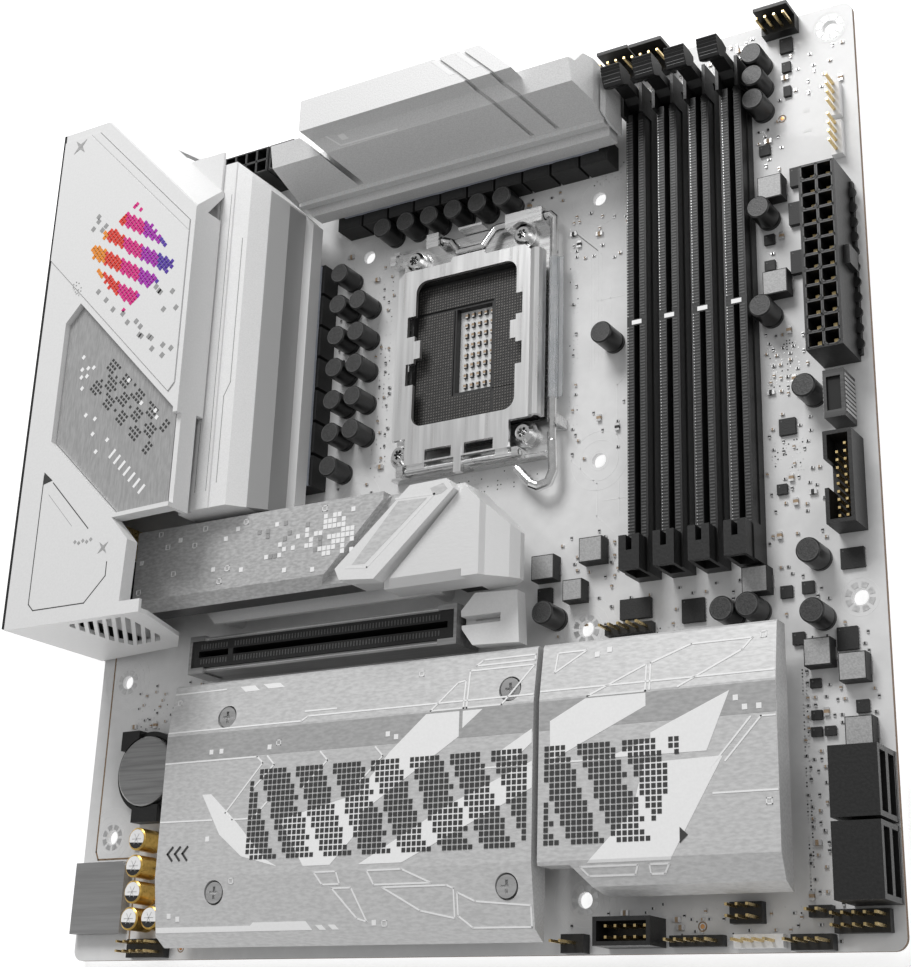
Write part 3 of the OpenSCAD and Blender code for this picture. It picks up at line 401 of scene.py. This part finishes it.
# ---- board surface ----
def small_part(piece, x, y, kind, along_x):
    w, l, h = {"r": (0.5, 0.28, 0.32), "c": (0.5, 0.3, 0.5), "big": (1.0, 0.6, 0.8)}[kind]
    if not along_x:
        w, l = l, w
    if not is_free(x, y, w, l):
        return
    taken.append((x - w, y - l, x + w, y + l))
    body = "package" if kind == "r" else ("tan" if rng.random() < 0.75 else "package")
    # metal caps outside this share of the half length, and a slightly lower body between them
    inner = 0.4
    if along_x:
        piece.box(x - w, y - l, TOP, x - w * inner, y + l, TOP + h, "tin")
        piece.box(x + w * inner, y - l, TOP, x + w, y + l, TOP + h, "tin")
        piece.box(x - w * inner, y - l, TOP, x + w * inner, y + l, TOP + h * 0.98, body)
    else:
        piece.box(x - w, y - l, TOP, x + w, y - l * inner, TOP + h, "tin")
        piece.box(x - w, y + l * inner, TOP, x + w, y + l, TOP + h, "tin")
        piece.box(x - w, y - l * inner, TOP, x + w, y + l * inner, TOP + h * 0.98, body)


def cluster(piece, x0, y0, x1, y1, count):
    grid = 0.9
    for _ in range(count):
        x = round(rng.uniform(x0, x1) / grid) * grid
        y = round(rng.uniform(y0, y1) / grid) * grid
        kind = rng.choices(("r", "c", "big"), (5, 5, 1))[0]
        small_part(piece, x, y, kind, rng.random() < 0.55)


def small_parts():
    piece = Piece("small_parts")
    for box in ((93.5, 96, 119, 112, 46), (94, 76, 101, 92, 16), (94, 52, 101, 68, 18), (94, 26, 101, 46, 26),
                (94, 12, 106, 30, 52), (94, -4, 106, 8, 30), (94, -20, 108, -6, 36), (92, -46, 108, -22, 34),
                (99.8, -112, 108.6, -48, 190), (109, -62, 118, -44, 26), (108, -76, 119, -62, 30),
                (44, -52, 92, -33, 64), (14, -46, 40, -32, 40), (34, -32, 58, -16, 34),
                (60, -120, 110, -111, 70), (38, -120, 60, -111, 30), (-84, -120.5, 36, -119.8, 8),
                (-108, -58, -84, -44, 44),
                (-92, -118, -84, -92, 60), (-104, -94, -98, -86, 16), (-84, -48, -60, -45, 20),
                (36, 4, 56, 20, 30), (35, 60, 56, 84, 40), (-28, 4, -18, 80, 60), (-26, 84, 34, 88, 40),
                (50, 108, 62, 115, 16), (72, 112, 96, 120, 30), (-41, 2, -37, 88, 30), (36, 20, 40, 70, 20)):
        cluster(piece, *box)
    piece.make()


def via_field():
    piece = Piece("vias")
    for x0, y0, x1, y1, nx, ny, keep in ((99.6, -110, 101.4, -58, 3, 64, 0.8),
                                         (94.6, 15, 103, 27, 12, 16, 0.4),
                                         (95, -8, 103, 0, 12, 10, 0.4), (-27, 10, -19, 74, 6, 46, 0.35),
                                         (36.4, 12, 40, 74, 4, 46, 0.35), (60, -48, 70, -44, 14, 5, 0.6),
                                         (-6, 0, 28, 5, 34, 5, 0.35), (45, 86, 57, 92, 14, 7, 0.4),
                                         (-106, -57, -86, -50, 18, 7, 0.35),
                                         (66, -119, 98, -112, 26, 6, 0.25)):
        for i in range(nx):
            for j in range(ny):
                x = x0 + (x1 - x0) * i / max(nx - 1, 1)
                y = y0 + (y1 - y0) * j / max(ny - 1, 1)
                if rng.random() < keep and is_free(x, y, 0.2, 0.2, 0.1):
                    finish = "tin" if rng.random() < 0.7 else "package"
                    piece.disc(x, y, 0.2, TOP, TOP + 0.05, finish, sides=8)
    piece.make()


def board_prints():
    low, high = TOP - 0.02, TOP + 0.04
    rings = Piece("hole_rings")
    prints = Piece("board_prints")
    for x, y in HOLES:
        for k in range(8):
            rings.disc(x, y, 3.7, low, TOP + 0.09, "tin", sides=4, inner=2.35, start=k * 45 + 8, sweep=29)
        room = HALF - max(abs(x), abs(y)) - 0.3
        for r in [r for r in (4.6, 6.4, 8.4) if r < room]:
            prints.disc(x, y, r + 0.12, low, high, "faint", sides=48, inner=r)
    for x, y in COOLER_HOLES:
        for r in (2.7, 5.6, 8.2):
            prints.disc(x, y, r + 0.14, low, high, "faint", sides=48, inner=r)
    for x, y, s in ((52.5, -8, 4.5), (-30, 86, 3), (88, -48, 2.5), (48, 88, 3), (-60, -45.6, 2), (50, 50, 4)):
        prints.line([(x - s, y), (x + s, y)], 0.25, low, high, "faint")
        prints.line([(x, y - s), (x, y + s)], 0.25, low, high, "faint")
    for k in range(4):
        prints.line([(37.5 + k * 1.1, 74 - k * 1.1), (44 + k * 1.1, 67.5 - k * 1.1), (44 + k * 1.1, 30 + k)],
                    0.16, low, high, "faint")
    prints.line([(38, 5), (46, -3), (46, -12), (51, -17)], 0.3, low, high, "faint")
    prints.line([(52, 8), (52, 24), (56, 28)], 0.3, low, high, "faint")
    for x, y, w, l in ((118.5, -100, 1.1, 3.4), (118.5, -84, 1.1, 3.4), (108, 86, 2.4, 1), (108, 92, 1.6, 1)):
        prints.box(x - w / 2, y - l / 2, low, x + w / 2, y + l / 2, high, "faint")
    brown = [(-117.5, -34), (-117.5, -91.5), (-116.4, -93.8), (-104, -93.8), (-101.6, -96), (-101.6, -116)]
    prints.line(brown, 0.5, low, high, "line_brown")
    for x, y in ((101.2, 91.5), (73.8, -115.9), (-82.4, -118.9)):
        prints.disc(x, y, 0.55, low, high + 0.02, "copper")
        prints.disc(x, y, 1.15, low, high, "line_brown", inner=0.85, sides=24)
    rings.make()
    prints.make()


def chip_legs():
    piece = Piece("chip_legs")
    for x0, y0, z0, x1, y1, z1 in islands("chips"):
        wide, long = x1 - x0, y1 - y0
        if wide < 2.3 or wide > 11 or z1 - z0 > 6:
            continue
        n = max(2, int(long / 0.75))
        for i in range(n):
            y = y0 + (i + 0.5) * long / n
            for x, s in ((x0, -1), (x1, 1)):
                a, b = sorted((x - s * 0.1, x + s * 0.3))
                piece.box(a, y - 0.13, TOP, b, y + 0.13, TOP + 0.14, "tin")
        if wide < 7:
            piece.disc(x0 + 0.7, y1 - 0.7, 0.2, z1 - 0.02, z1 + 0.03, "rib", sides=10)
    piece.make()


# ---- cans and chokes ----
def can_tops():
    piece = Piece("can_tops")
    for x0, y0, _, x1, y1, z1 in islands("polymer_capacitors"):
        x, y, r = (x0 + x1) / 2, (y0 + y1) / 2, (x1 - x0) / 2
        piece.disc(x, y, r - 0.5, z1 - 0.1, z1 + 0.04, "can_top", sides=28)
        piece.disc(x, y, r - 0.35, z1 - 0.1, z1 + 0.08, "rib", sides=28, inner=r - 0.55)
    piece.make()
    gold = Piece("audio_can_tops")
    for x0, y0, _, x1, y1, z1 in islands("audio_capacitors"):
        x, y, r = (x0 + x1) / 2, (y0 + y1) / 2, (x1 - x0) / 2
        gold.disc(x, y, r - 0.5, z1 - 0.1, z1 + 0.05, "white_art", sides=28)
        gold.disc(x, y, r - 0.5, z1 - 0.1, z1 + 0.09, "package", sides=10, start=200, sweep=150)
        for a in (0, 60, 120):
            ca, sa = math.cos(math.radians(a)) * 1.6, math.sin(math.radians(a)) * 1.6
            gold.line([(x - ca, y - sa), (x + ca, y + sa)], 0.14, z1, z1 + 0.11, "tin")
    gold.make()
    chokes = Piece("choke_caps")
    for x0, y0, _, x1, y1, z1 in islands("inductors"):
        if z1 - TOP < 5.5:
            chokes.box(x0 + 0.25, y0 + 0.25, z1 - 0.1, x1 - 0.25, y1 - 0.25, z1 + 0.12, "choke")
            for s in (x0 - 0.35, x1 - 0.3):
                chokes.box(s, (y0 + y1) / 2 - 1.5, TOP, s + 0.65, (y0 + y1) / 2 + 1.5, TOP + 0.5, "tin")
        else:
            chokes.box(x0 + 0.6, y0 + 0.6, z1 - 0.1, x1 - 0.6, y1 - 0.6, z1 + 0.1, "dark")
            chokes.box(x0 + 1.2, (y0 + y1) / 2 - 0.2, z1, x1 - 1.2, (y0 + y1) / 2 + 0.2, z1 + 0.16, "ferrite")
    chokes.make()


# ---- slots and connectors ----
def memory_ribs():
    for k in range(1, 5):
        lo, hi = (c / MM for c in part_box(f"memory_slot_{k}"))
        x, top = (lo.x + hi.x) / 2, TOP + 7
        piece = Piece(f"memory_ribs_{k}")
        pitch, first, last, key = 0.85, -26, 99, 37.6
        for i in range(int((last - first) / pitch)):
            y = first + i * pitch
            if abs(y - key) < 1.4:
                continue
            for side in (-1, 1):
                a, b = sorted((x + side * 1.0, x + side * 2.3))
                piece.box(a, y, top - 0.1, b, y + pitch * 0.45, top + 0.08, "rib")
            piece.box(x - 2.7, y + 0.1, top - 0.1, x - 2.45, y + 0.35, top + 0.1, "tin")
        piece.box(x - 1.4, key - 0.6, top - 1.2, x + 1.4, key + 0.6, top + 0.12, "white_art")
        piece.make()
        lat = Piece(f"latch_grip_{k}", f"memory_latch_{k}")
        for y in (103.2, 103.9):
            lat.line([(x - 2.5, y), (x + 2.5, y)], 0.12, TOP + 21.0, TOP + 21.2 + (y - 102.9) * 0.5, "rib")
        lat.make()


def card_slot_ribs():
    piece = Piece("card_slot_ribs")
    lo, hi = (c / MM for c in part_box("pcie_slot"))
    top = hi.z
    for i in range(int((hi.x - lo.x - 6) / 1.0)):
        x = lo.x + 3 + i * 1.0
        if abs(x + 64.1) < 1.3:
            continue
        for y0, y1 in ((-42.3, -40.9), (-38.0, -36.6)):
            piece.box(x, y0, top - 0.1, x + 0.42, y1, top + 0.07, "rib")
    piece.box(-64.9, -40.3, top - 2, -63.3, -38.6, top + 0.05, "dark")
    for y in (-43.95, -34.95):
        piece.line([(-77, y), (10, y)], 0.3, TOP + 10.1, TOP + 10.32, "tin")
    piece.make()


def power_rims():
    piece = Piece("power_rims")
    top, cell = TOP + 12.8, 4.2
    for i in range(2):
        for j in range(12):
            x, y = 110.05 + i * cell, 17.75 + j * cell
            corner = 0.8 if (i + j) % 2 else 0.15
            pts = [(x + 0.2 + corner, y + 0.2), (x + 4.0 - corner, y + 0.2), (x + 4.0, y + 0.2 + corner),
                   (x + 4.0, y + 4.0), (x + 0.2, y + 4.0), (x + 0.2, y + 0.2 + corner)]
            piece.line(pts, 0.28, top - 0.2, top + 0.1, "rib", closed=True)
    for j in range(11):
        piece.disc(119.4, 21.5 + j * cell, 1.4, TOP + 1.5, TOP + 2.2, "black", sides=16)
    piece.make()
    ports = Piece("cpu_power_rims")
    for x0, nx in ((-80.2, 4), (-62.2, 2)):
        for i in range(nx):
            for j in range(2):
                x, y = x0 + i * cell, 113.4 + j * cell
                ports.line([(x + 0.2, y + 0.2), (x + 4.0, y + 0.2), (x + 4.0, y + 4.0), (x + 0.2, y + 4.0)],
                           0.25, TOP + 13.1, TOP + 13.4, "rib", closed=True)
    ports.make()


def header_marks():
    piece = Piece("header_marks")
    lo, hi = (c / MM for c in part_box("usb_c_header"))
    for j in range(9):
        y = lo.y + 1.6 + j * (hi.y - lo.y - 3.2) / 8
        for a, b in ((lo.x - 0.3, lo.x + 0.1), (hi.x - 0.1, hi.x + 0.3)):
            piece.box(a, y - 0.35, TOP + 1, b, y + 0.35, hi.z - 0.6, "bright")
    piece.box(lo.x + 0.9, lo.y + 1.9, hi.z - 0.9, hi.x - 0.9, hi.y - 1.9, hi.z - 0.7, "gap")
    for y0 in (76.8, 88.6):
        for i in range(4):
            piece.box(116.1, y0 + i * 2.54 - 0.5, TOP + 2.4, 116.9, y0 + i * 2.54 + 0.5, TOP + 2.6, "faint")
    piece.make()


# ---- socket ----
def socket_field():
    piece = Piece("contact_field")
    level = TOP + 2.8
    pitch = 0.86
    nx, ny = int(37 / pitch), int(44 / pitch)
    for i in range(nx):
        for j in range(ny):
            x, y = -10.4 + i * pitch, 20.4 + j * pitch
            if 1.2 < x < 14.8 and 28.7 < y < 56.5:
                continue
            if abs(y - 56.0) < 0.5 and x < 14.6 or abs(x - 14.6) < 0.3 and y < 56:
                continue
            piece.prism([(x, y), (x + 0.42, y + 0.1), (x + 0.42, y + 0.5), (x, y + 0.4)], level - 0.05,
                        level + 0.12, "field")
    piece.make()
    caps = Piece("cavity_parts")
    for i in range(5):
        for j in range(8):
            x, y, low = 4.1 + i * 2.1, 31.6 + j * 3.1, TOP + 0.55
            caps.box(x, y + 0.1, low, x + 0.8, y + 1.2, TOP + 0.9, "tan")
            for end in (y, y + 1.0):
                caps.box(x, end, low, x + 0.8, end + 0.3, TOP + 0.92, "tin")
    caps.make()


# ---- prints on the cooling parts and the cover, and painted shade in the cover's grooves ----
def plate_height(x, y):
    """Top of the two lower plates above the board's underside, in millimetres."""
    ridge_low, ridge_high = -101.7, -62.7
    front = -107.6 if x > 36.9 else -116.8
    if y < ridge_low:
        return TOP + 14.5 - 2.4 * (ridge_low - y) / (ridge_low - front)
    if y > ridge_high:
        return TOP + 14.5 - 2.0 * (y - ridge_high) / 13.7
    return TOP + 14.5


def cut_rows(points, rows):
    """Splits a polygon at the given y values so that each part lies on one flat of a folded surface."""
    parts, rest = [], points
    for row in sorted(rows):
        below, above = [], []
        for (ax, ay), (bx, by) in zip(rest, rest[1:] + rest[:1]):
            if ay <= row:
                below.append((ax, ay))
            if ay >= row:
                above.append((ax, ay))
            if (ay - row) * (by - row) < 0:
                t = (row - ay) / (by - ay)
                cross = (ax + (bx - ax) * t, row)
                below.append(cross)
                above.append(cross)
        if len(below) > 2:
            parts.append(below)
        rest = above
        if len(rest) < 3:
            return parts
    return parts + [rest]


class Print(Piece):
    """Thin shapes that follow a surface given by a height function."""

    def __init__(self, name, height, body="board", rows=()):
        super().__init__(name, body)
        self.height, self.rows = height, rows

    def shape(self, points, finish, layer=0):
        for part in cut_rows(points, self.rows):
            area = sum(a[0] * b[1] - b[0] * a[1] for a, b in zip(part, part[1:] + part[:1]))
            if abs(area) > 1e-3:
                self.prism(part, lambda x, y: self.height(x, y) - 0.03,
                           lambda x, y: self.height(x, y) + 0.05 + 0.03 * layer, finish)

    def stroke(self, points, width, finish="white_art", layer=2, closed=False):
        pts = points + points[:1] if closed else points
        for (ax, ay), (bx, by) in zip(pts, pts[1:]):
            size = math.hypot(bx - ax, by - ay)
            ux, uy = (bx - ax) / size * width / 2, (by - ay) / size * width / 2
            self.shape([(ax - ux + uy, ay - uy - ux), (bx + ux + uy, by + uy - ux),
                        (bx + ux - uy, by + uy + ux), (ax - ux - uy, ay - uy + ux)], finish, layer)

    def square(self, x, y, size, finish="white_art", layer=3, turn=0.0):
        c, s = math.cos(math.radians(turn)) * size / 2, math.sin(math.radians(turn)) * size / 2
        self.shape([(x - c + s, y - s - c), (x + c + s, y + s - c), (x + c - s, y + s + c),
                    (x - c - s, y - s + c)], finish, layer)

    def frame(self, x, y, size, finish="white_art", width=0.22):
        h = size / 2
        self.stroke([(x - h, y - h), (x + h, y - h), (x + h, y + h), (x - h, y + h)], width, finish, 3, True)

    def star(self, x, y, size, finish, turn=0.0):
        pts = []
        for k in range(8):
            r = size if k % 2 == 0 else size * 0.26
            a = math.radians(turn + k * 45)
            pts.append((x + r * math.cos(a), y + r * math.sin(a)))
        self.shape(pts, finish, 2)


def plate_prints():
    art = Print("plate_prints", plate_height, rows=(-101.7, -62.7))
    for x0, x1 in ((-81.2, 36.0), (37.8, 99.3)):
        art.shape([(x0, -70.4), (x1, -70.4), (x1, -63.2), (x0, -63.2)], "band", 0)
    white = [
        [(4.7, -63.6), (14.7, -63.6), (14.7, -70), (-14, -87.5), (-14, -81), (-6, -72.5)],
        [(15.7, -63.6), (21.5, -63.6), (15.7, -68)],
        [(-40, -88), (-14.6, -82.5), (-14.6, -92), (-23, -100.2), (-31.5, -100.2)],
        [(-67, -80), (-64, -80), (-55, -87.5), (-44, -98), (-40, -100), (-52, -97), (-60, -91)],
        [(-14.2, -100.4), (-1, -100.4), (36, -84), (36, -77.5), (12, -87)],
        [(40.8, -68.2), (50.5, -63.4), (66.6, -63.4), (66.6, -66.5), (41, -78)],
        [(67.8, -73), (88, -64.6), (82, -78.2), (56, -78.2), (67.8, -74.5)],
        [(66, -80), (86, -79.6), (72.5, -102.4), (51, -102.4), (63, -91)],
        [(26, -75), (35.8, -69.6), (35.8, -73), (30, -77.5)],
        [(-58, -50.6), (-53, -50.6), (-51, -52.2), (-56, -52.2)],
        [(-50, -50.6), (-44.5, -50.6), (-42.5, -52), (-48, -52)],
        [(-81.1, -114.6), (-49, -114.6), (-48, -113.8), (-31, -113.8), (-29, -116), (-81.1, -116)],
        [(-28, -114.8), (-26, -114.8), (-24.6, -116), (-26.6, -116)],
        [(-24, -114.8), (-22, -114.8), (-20.6, -116), (-22.6, -116)],
    ]
    for pts in white:
        art.shape(pts, "white_art", 1)
    closed = [
        [(6, -62.9), (13.5, -56), (15.8, -55.6), (15.8, -62.9)],
        [(16.8, -53.2), (35.6, -53.2), (27, -62.9), (16.8, -62.9)],
        [(20.5, -50.6), (35.6, -50.6), (35.6, -52), (18.5, -52)],
        [(51, -62.9), (66.5, -56.2), (66.5, -62.9)],
        [(-28, -101.9), (-21, -101.9), (-20, -105), (-25.5, -105)],
        [(-22.5, -106), (-16.5, -106), (-12, -114.3), (-15, -113.5)],
        [(-11.5, -102), (-1, -102), (7.5, -105.5), (-9.5, -105.5)],
        [(-7, -106.2), (12, -106.2), (14, -107), (14, -114), (4, -112)],
        [(15, -108), (20, -110.2), (35.4, -111.5), (35.4, -116.4), (19, -116.3), (15, -113.5)],
        [(49, -103.2), (64, -103.2), (63, -105.3), (51, -105.3)],
        [(67, -103.2), (72, -103.2), (70.5, -105.3), (67, -105.3)],
        [(42, -51), (50, -51), (41.5, -56)],
    ]
    for pts in closed:
        art.stroke(pts, 0.4, closed=True)
    opened = [
        [(-81, -50.9), (-63, -50.9)], [(-81, -62.2), (-35, -62.2), (-33, -61), (35.8, -61)],
        [(-34, -59.6), (-24, -59.6)], [(38, -60.6), (99, -60.6)],
        [(-81, -70.8), (-49, -70.8), (-47, -72.6), (-58.5, -85.3), (-56, -87.2), (-49, -87.2), (-43.5, -82)],
        [(-81, -86.8), (-63, -87)],
        [(67.6, -62.6), (67.6, -56), (78, -52.3), (93.5, -52.3), (91, -55), (75, -62.6)],
        [(83.5, -88), (99, -88)], [(93, -71.2), (83, -82)], [(99, -71.2), (95.6, -71.2), (86.6, -80.8)],
        [(-14.4, -81.4), (-14.4, -92)], [(41, -78.4), (55, -78.4)], [(20, -78.4), (35.8, -78.4)],
    ]
    opened += [[(x, -70.9), (x + 2.4, -73.3), (x - 5, -80)] for x in (-45.5, -28, -10.5)]
    for pts in opened:
        art.stroke(pts, 0.4)
    for x, y in ((-65, -68.5), (-61.5, -68.5), (-45, -68.5), (-6.8, -67.8), (-4.2, -68.7), (53, -52.4),
                 (56.3, -51.5), (89.5, -66.5), (91.7, -68.8), (95.2, -68.8), (-76.5, -111.7), (-73.5, -112.5),
                 (-64, -92), (-9.8, -114.6)):
        art.square(x, y, 1.3)
    for x, y in ((-79, -53.5), (2, -52.5), (96.3, -51.8), (-42, -67.5), (-55, -103.2), (-6.7, -114.8),
                 (97, -90.5)):
        art.frame(x, y, 1.3)
    art.make()
    dots = Print("plate_dots", plate_height)
    pitch, seam = 1.5, (34.6, 38.8)
    for j in range(16):
        y = -74.9 - j * pitch
        for i in range(86):
            x = -50 + i * pitch
            lean = (x + 0.45 * (y + 75)) % 24.0
            thin = 2.0 + 1.6 * ((i * 7 + j * 13) % 4 == 0)
            shown = lean % 12.0 < 12.0 - thin and lean < 21
            if shown and not seam[0] < x < seam[1] and x < 76 - j * 0.5:
                dots.square(x, y, 1.12, "dots", 4)
    for k in range(3):
        x = -77.5 + k * 2.6
        dots.stroke([(x + 1.6, -93.8), (x, -95.5), (x + 1.6, -97.2)], 0.55, "dots", 4)
    dots.shape([(75, -95.2), (77, -97), (75, -98.8)], "dots", 4)
    dots.make()


def drive_sink_prints():
    art = Print("drive_sink_prints", lambda x, y: node_top("m2_heatsink"), "m2_heatsink")
    for x, y in ((-82, -6.5), (-79, -10.7), (-65.5, -7), (-69, -11.5), (-51, -7), (-76, -19), (-56.5, -19.8),
                 (-24, -7), (-59, -23.2), (-88.5, -23)):
        art.frame(x, y, 1.4)
    for x, y in ((-88.4, -14.3), (-74.5, -9.2), (-61.5, -19.5), (-51.5, -20.8), (-36.5, -22.8), (-27, -23.8),
                 (-14.5, -8.5), (-53.7, -8.7), (-57.8, -11)):
        art.square(x, y, 1.3)
    for i in range(22):
        for j in range(8):
            x, y = -46 + i * 1.5, -9.3 - j * 1.5
            dense = 0.12 + 0.8 * max(0.0, (i - 6) / 15) * (1 - abs(j - 3.5) / 6)
            if rng.random() < dense and x + y < -28:
                art.square(x, y, 1.25, "white_art" if rng.random() < 0.25 + i / 24 else "print")
    art.make()
    clip_top = node_top("m2_clip")
    bar = Print("clip_frame", lambda x, y: clip_top, "m2_clip")
    bar.stroke([(0.6, -8.6), (12.6, -9.0), (-7.6, -26.2), (-14.4, -25.6)], 0.45, "faint", 0)
    bar.shape([(1.4, -9.4), (10.4, -9.7), (-8.4, -25.2), (-12.4, -24.9)], "silver_paint", 0)
    bar.shape([(11.2, -7.2), (15.2, -6.4), (16.6, -8.2), (14.6, -9.2), (12.4, -9.4)], "silver_paint", 0)
    bar.make()


def cover_prints_and_groove_shade():
    top = node_top("io_cover_badge")
    sheet = node_top("io_cover")
    art = Print("badge_prints", lambda x, y: top)
    ramp = ((0.9, 0.3, 0.03), (0.8, 0.05, 0.03), (0.75, 0.02, 0.25), (0.42, 0.02, 0.45), (0.1, 0.04, 0.4))
    for k, color in enumerate(ramp):
        M[f"pixel_{k}"] = surface(f"pixel_{k}", color, tuple(c * 0.85 for c in color), 0.45, grain=1500)
    # a field of slanted pixel stripes whose ends fray
    step = 0.86
    for i in range(42):
        for j in range(-10, 11):
            x = -106 + i * step
            y = 86 - 0.3 * (x + 106) + (j + 0.5 * (i % 2)) * 2 * step - 5
            stripe = (j * 2 + i % 2 + i * 0.35) % 9 < 5.2
            inside = min(i, 41 - i) + 1.5 > abs(j) * 2.1
            fray = min(i, 41 - i) / 5 + 0.35
            if stripe and inside and rng.random() < fray:
                art.square(x, y, 1.2, f"pixel_{min(4, int(i / 8.4))}", 1, turn=45)
    for k in range(54):
        t = k / 53
        side = 1 if k % 2 else -1
        x = -106 + 36 * t + rng.uniform(-2.5, 2.5)
        y = 82 - 34 * t + side * (12 - 3 * t) + rng.uniform(-3, 3)
        near_stripes = -108 < x < -70 and abs(y - 81 + 0.3 * (x + 106)) < 8.5
        if -107.5 + max(0, 68 - y) < x < -67.8 and -34 < x + y < 14 and not near_stripes:
            art.square(x, y, 1.5, "print", 1, turn=45)
    for i in range(4):
        for j in range(4):
            if (i + j) % 3:
                art.square(-110.6 + i * 1.1, 73 - j * 1.1 - i * 0.6, 0.4, "print", 1, turn=45)
    art.star(-115, 121, 3.2, "band", 40)
    art.make()
    deck = Print("cover_prints_and_groove_shade", lambda x, y: sheet)
    # painted shade: the dark strokes along the cover's rounded outline and diagonal, and the small dark
    # triangle, stand for the shade in the cover's grooves; the star and squares after them are print
    deck.stroke([(-113.4, 10.8), (-113.4, -28), (-111.4, -30), (-92, -30), (-85, -23), (-85, -19)], 0.28,
                "dots", 0)
    deck.stroke([(-109.4, 8), (-93.6, -8)], 0.28, "dots", 0)
    deck.shape([(-113.4, 11.8), (-109.8, 8.8), (-113.4, 8)], "dots", 1)
    deck.star(-87, -14.6, 2.3, "band", 40)
    for k in range(5):
        deck.square(-98 + k * 1.5, -11.5 - 0.5 * (k % 2), 0.9, "band", 1, turn=45)
    deck.stroke([(-110.6, 4.5), (-100, -6.5)], 0.12, "print", 0)
    deck.make()
    low = node_top("io_cover_panel")
    panel = Print("panel_prints", lambda x, y: low)
    for i in range(26):
        for j in range(9):
            x = -100.5 + (i + j) * 0.96
            y = 36.5 - (i - j) * 0.96
            if (i // 3 + j // 3) % 2 == 0 or (i * j) % 7 == 3:
                if x < -68 and x + y < -46:
                    panel.square(x, y, 0.82, "dots", 1, turn=45)
    for x, y in ((-105, 47.5), (-105, 43.5), (-102.6, 43.5), (-100.4, 43.3), (-105, 41), (-102.8, 41),
                 (-104.2, 37.3), (-101.4, 28.3), (-97.6, 26.5), (-97.8, 21.8), (-91.8, 19), (-95.8, 16),
                 (-85.8, 36.5), (-80, 28.3), (-74.3, 25), (-73.6, 22.8)):
        panel.square(x, y, 1.15, "white_art", 2, turn=45)
    for k in range(7):
        x, y = -90 + k * 2.1, 13.5 - k * 2.1
        panel.stroke([(x, y), (x + 1.6, y + 1.6)], 0.9, "white_art", 1)
    panel.make()


def sink_prints():
    art = Piece("top_sink_prints")
    slope = lambda x, y: TOP + 31 + (y - 100.5) * (1.6 / 6.7)
    lift = lambda x, y: slope(x, y) + 0.08
    for pts in ([(-26.5, 105.4), (-21.4, 101.4)], [(-21.4, 101.4), (-2, 101.2)]):
        art.line(pts, 0.4, slope, lift, "white_art")
    art.prism([(-22.4, 104.6), (-20.2, 104.6), (-18.6, 102.8), (-20.8, 102.8)], slope, lift, "white_art")
    top = node_top("vrm_heatsink_top")
    for x in (13.2, 21.2):
        stripe = [(x, 115), (x + 1.6, 115), (x + 8, 108.6), (x + 6.4, 108.6)]
        art.prism(stripe, top - 0.05, top + 0.06, "white_art")
    art.make()
    side = Piece("left_sink_prints")
    top = node_top("vrm_heatsink_left")
    for x in (-65.6, -61.6):
        side.line([(x, 2), (x, 96)], 0.18, top - 0.05, top + 0.05, "print")
    side.line([(-58, 4), (-58, 30), (-56, 34), (-56, 80)], 0.25, top - 0.05, top + 0.05, "print")
    side.make()


# ---- underside ----
def underside():
    piece = Piece("underside_prints")
    high, low = 0.02, -0.05
    for k in range(9):
        piece.line([(-30 + k * 1.2, 60), (-30 + k * 1.2, -20 + k * 1.2), (10 + k * 1.2, -60 + k * 1.2)], 0.2,
                   low, high, "faint")
    for k in range(8):
        piece.line([(38 + k * 1.4, 20 + k), (56, 36 + k), (92, 36 + k)], 0.2, low, high, "faint")
    for x, y in HOLES:
        for k in range(8):
            piece.disc(x, y, 3.7, low, high, "tin", sides=4, inner=2.35, start=k * 45 + 8, sweep=29)
    for _ in range(260):
        x, y = rng.uniform(-112, 112), rng.uniform(-112, 112)
        if not (-21 < x < 34 and 5 < y < 82):
            piece.disc(x, y, 0.3, low, high, "tin", sides=8)
    for _ in range(60):
        x, y = rng.uniform(-100, 50), rng.uniform(-100, 0)
        piece.box(x - 0.5, y - 0.28, -0.45, x + 0.5, y + 0.28, 0, "tan")
    piece.make()


def rear_details():
    piece = Piece("port_details")
    for y in (83, 63, 21):
        for z in (3, 10.4, 17.8, 24.4):
            piece.box(-122.8, y - 5.0, TOP + z + 1.7, -108.5, y + 5.0, TOP + z + 3.1, "port_blue")
    for y, z, kind in ((-12, 7, "port_green"), (-12, 20, "port_blue"), (-26.4, 7, "port_red"),
                       (-26.4, 20, "dark")):
        turn = 18
        for k in range(360 // turn):
            a, b = math.radians(k * turn), math.radians(k * turn + turn)
            pts = [(math.cos(a), math.sin(a)), (math.cos(b), math.sin(b))]
            base = len(piece.verts)
            mark = piece.finish_index(kind)
            for x in (-123.35, -123.5):
                for r in (2.1, 3.9):
                    for c, s in pts:
                        piece.verts.append((x * MM, (y + r * c) * MM, (TOP + z + r * s) * MM))
            quads = ((4, 5, 7, 6), (0, 2, 3, 1), (0, 1, 5, 4), (2, 6, 7, 3), (0, 4, 6, 2), (1, 3, 7, 5))
            piece.faces += [[base + q for q in quad] for quad in quads]
            piece.marks += [mark] * 6
    piece.make()


def board_edge():
    """A thin brown edge of bare laminate round the board."""
    piece = Piece("board_edge")
    h, r, out = HALF, 3.0, 0.03
    pts = []
    for cx, cy, start in ((h - r, h - r, 0), (-h + r, h - r, 90), (-h + r, -h + r, 180),
                          (h - r, -h + r, 270)):
        for k in range(7):
            a = math.radians(start + k * 15)
            pts.append((cx + (r + out) * math.cos(a), cy + (r + out) * math.sin(a)))
    ring = pts + pts[:1]
    for a, b in zip(ring, ring[1:]):
        inner = [(p[0] * 0.999, p[1] * 0.999) for p in (b, a)]
        piece.prism([a, b] + inner, 0.12, TOP - 0.12, "edge")
    piece.make()


make_camera()
make_stage()
dress_nodes()
note_taken()
board_prints()
small_parts()
via_field()
chip_legs()
can_tops()
memory_ribs()
card_slot_ribs()
power_rims()
header_marks()
socket_field()
plate_prints()
drive_sink_prints()
cover_prints_and_groove_shade()
sink_prints()
underside()
rear_details()
board_edge()
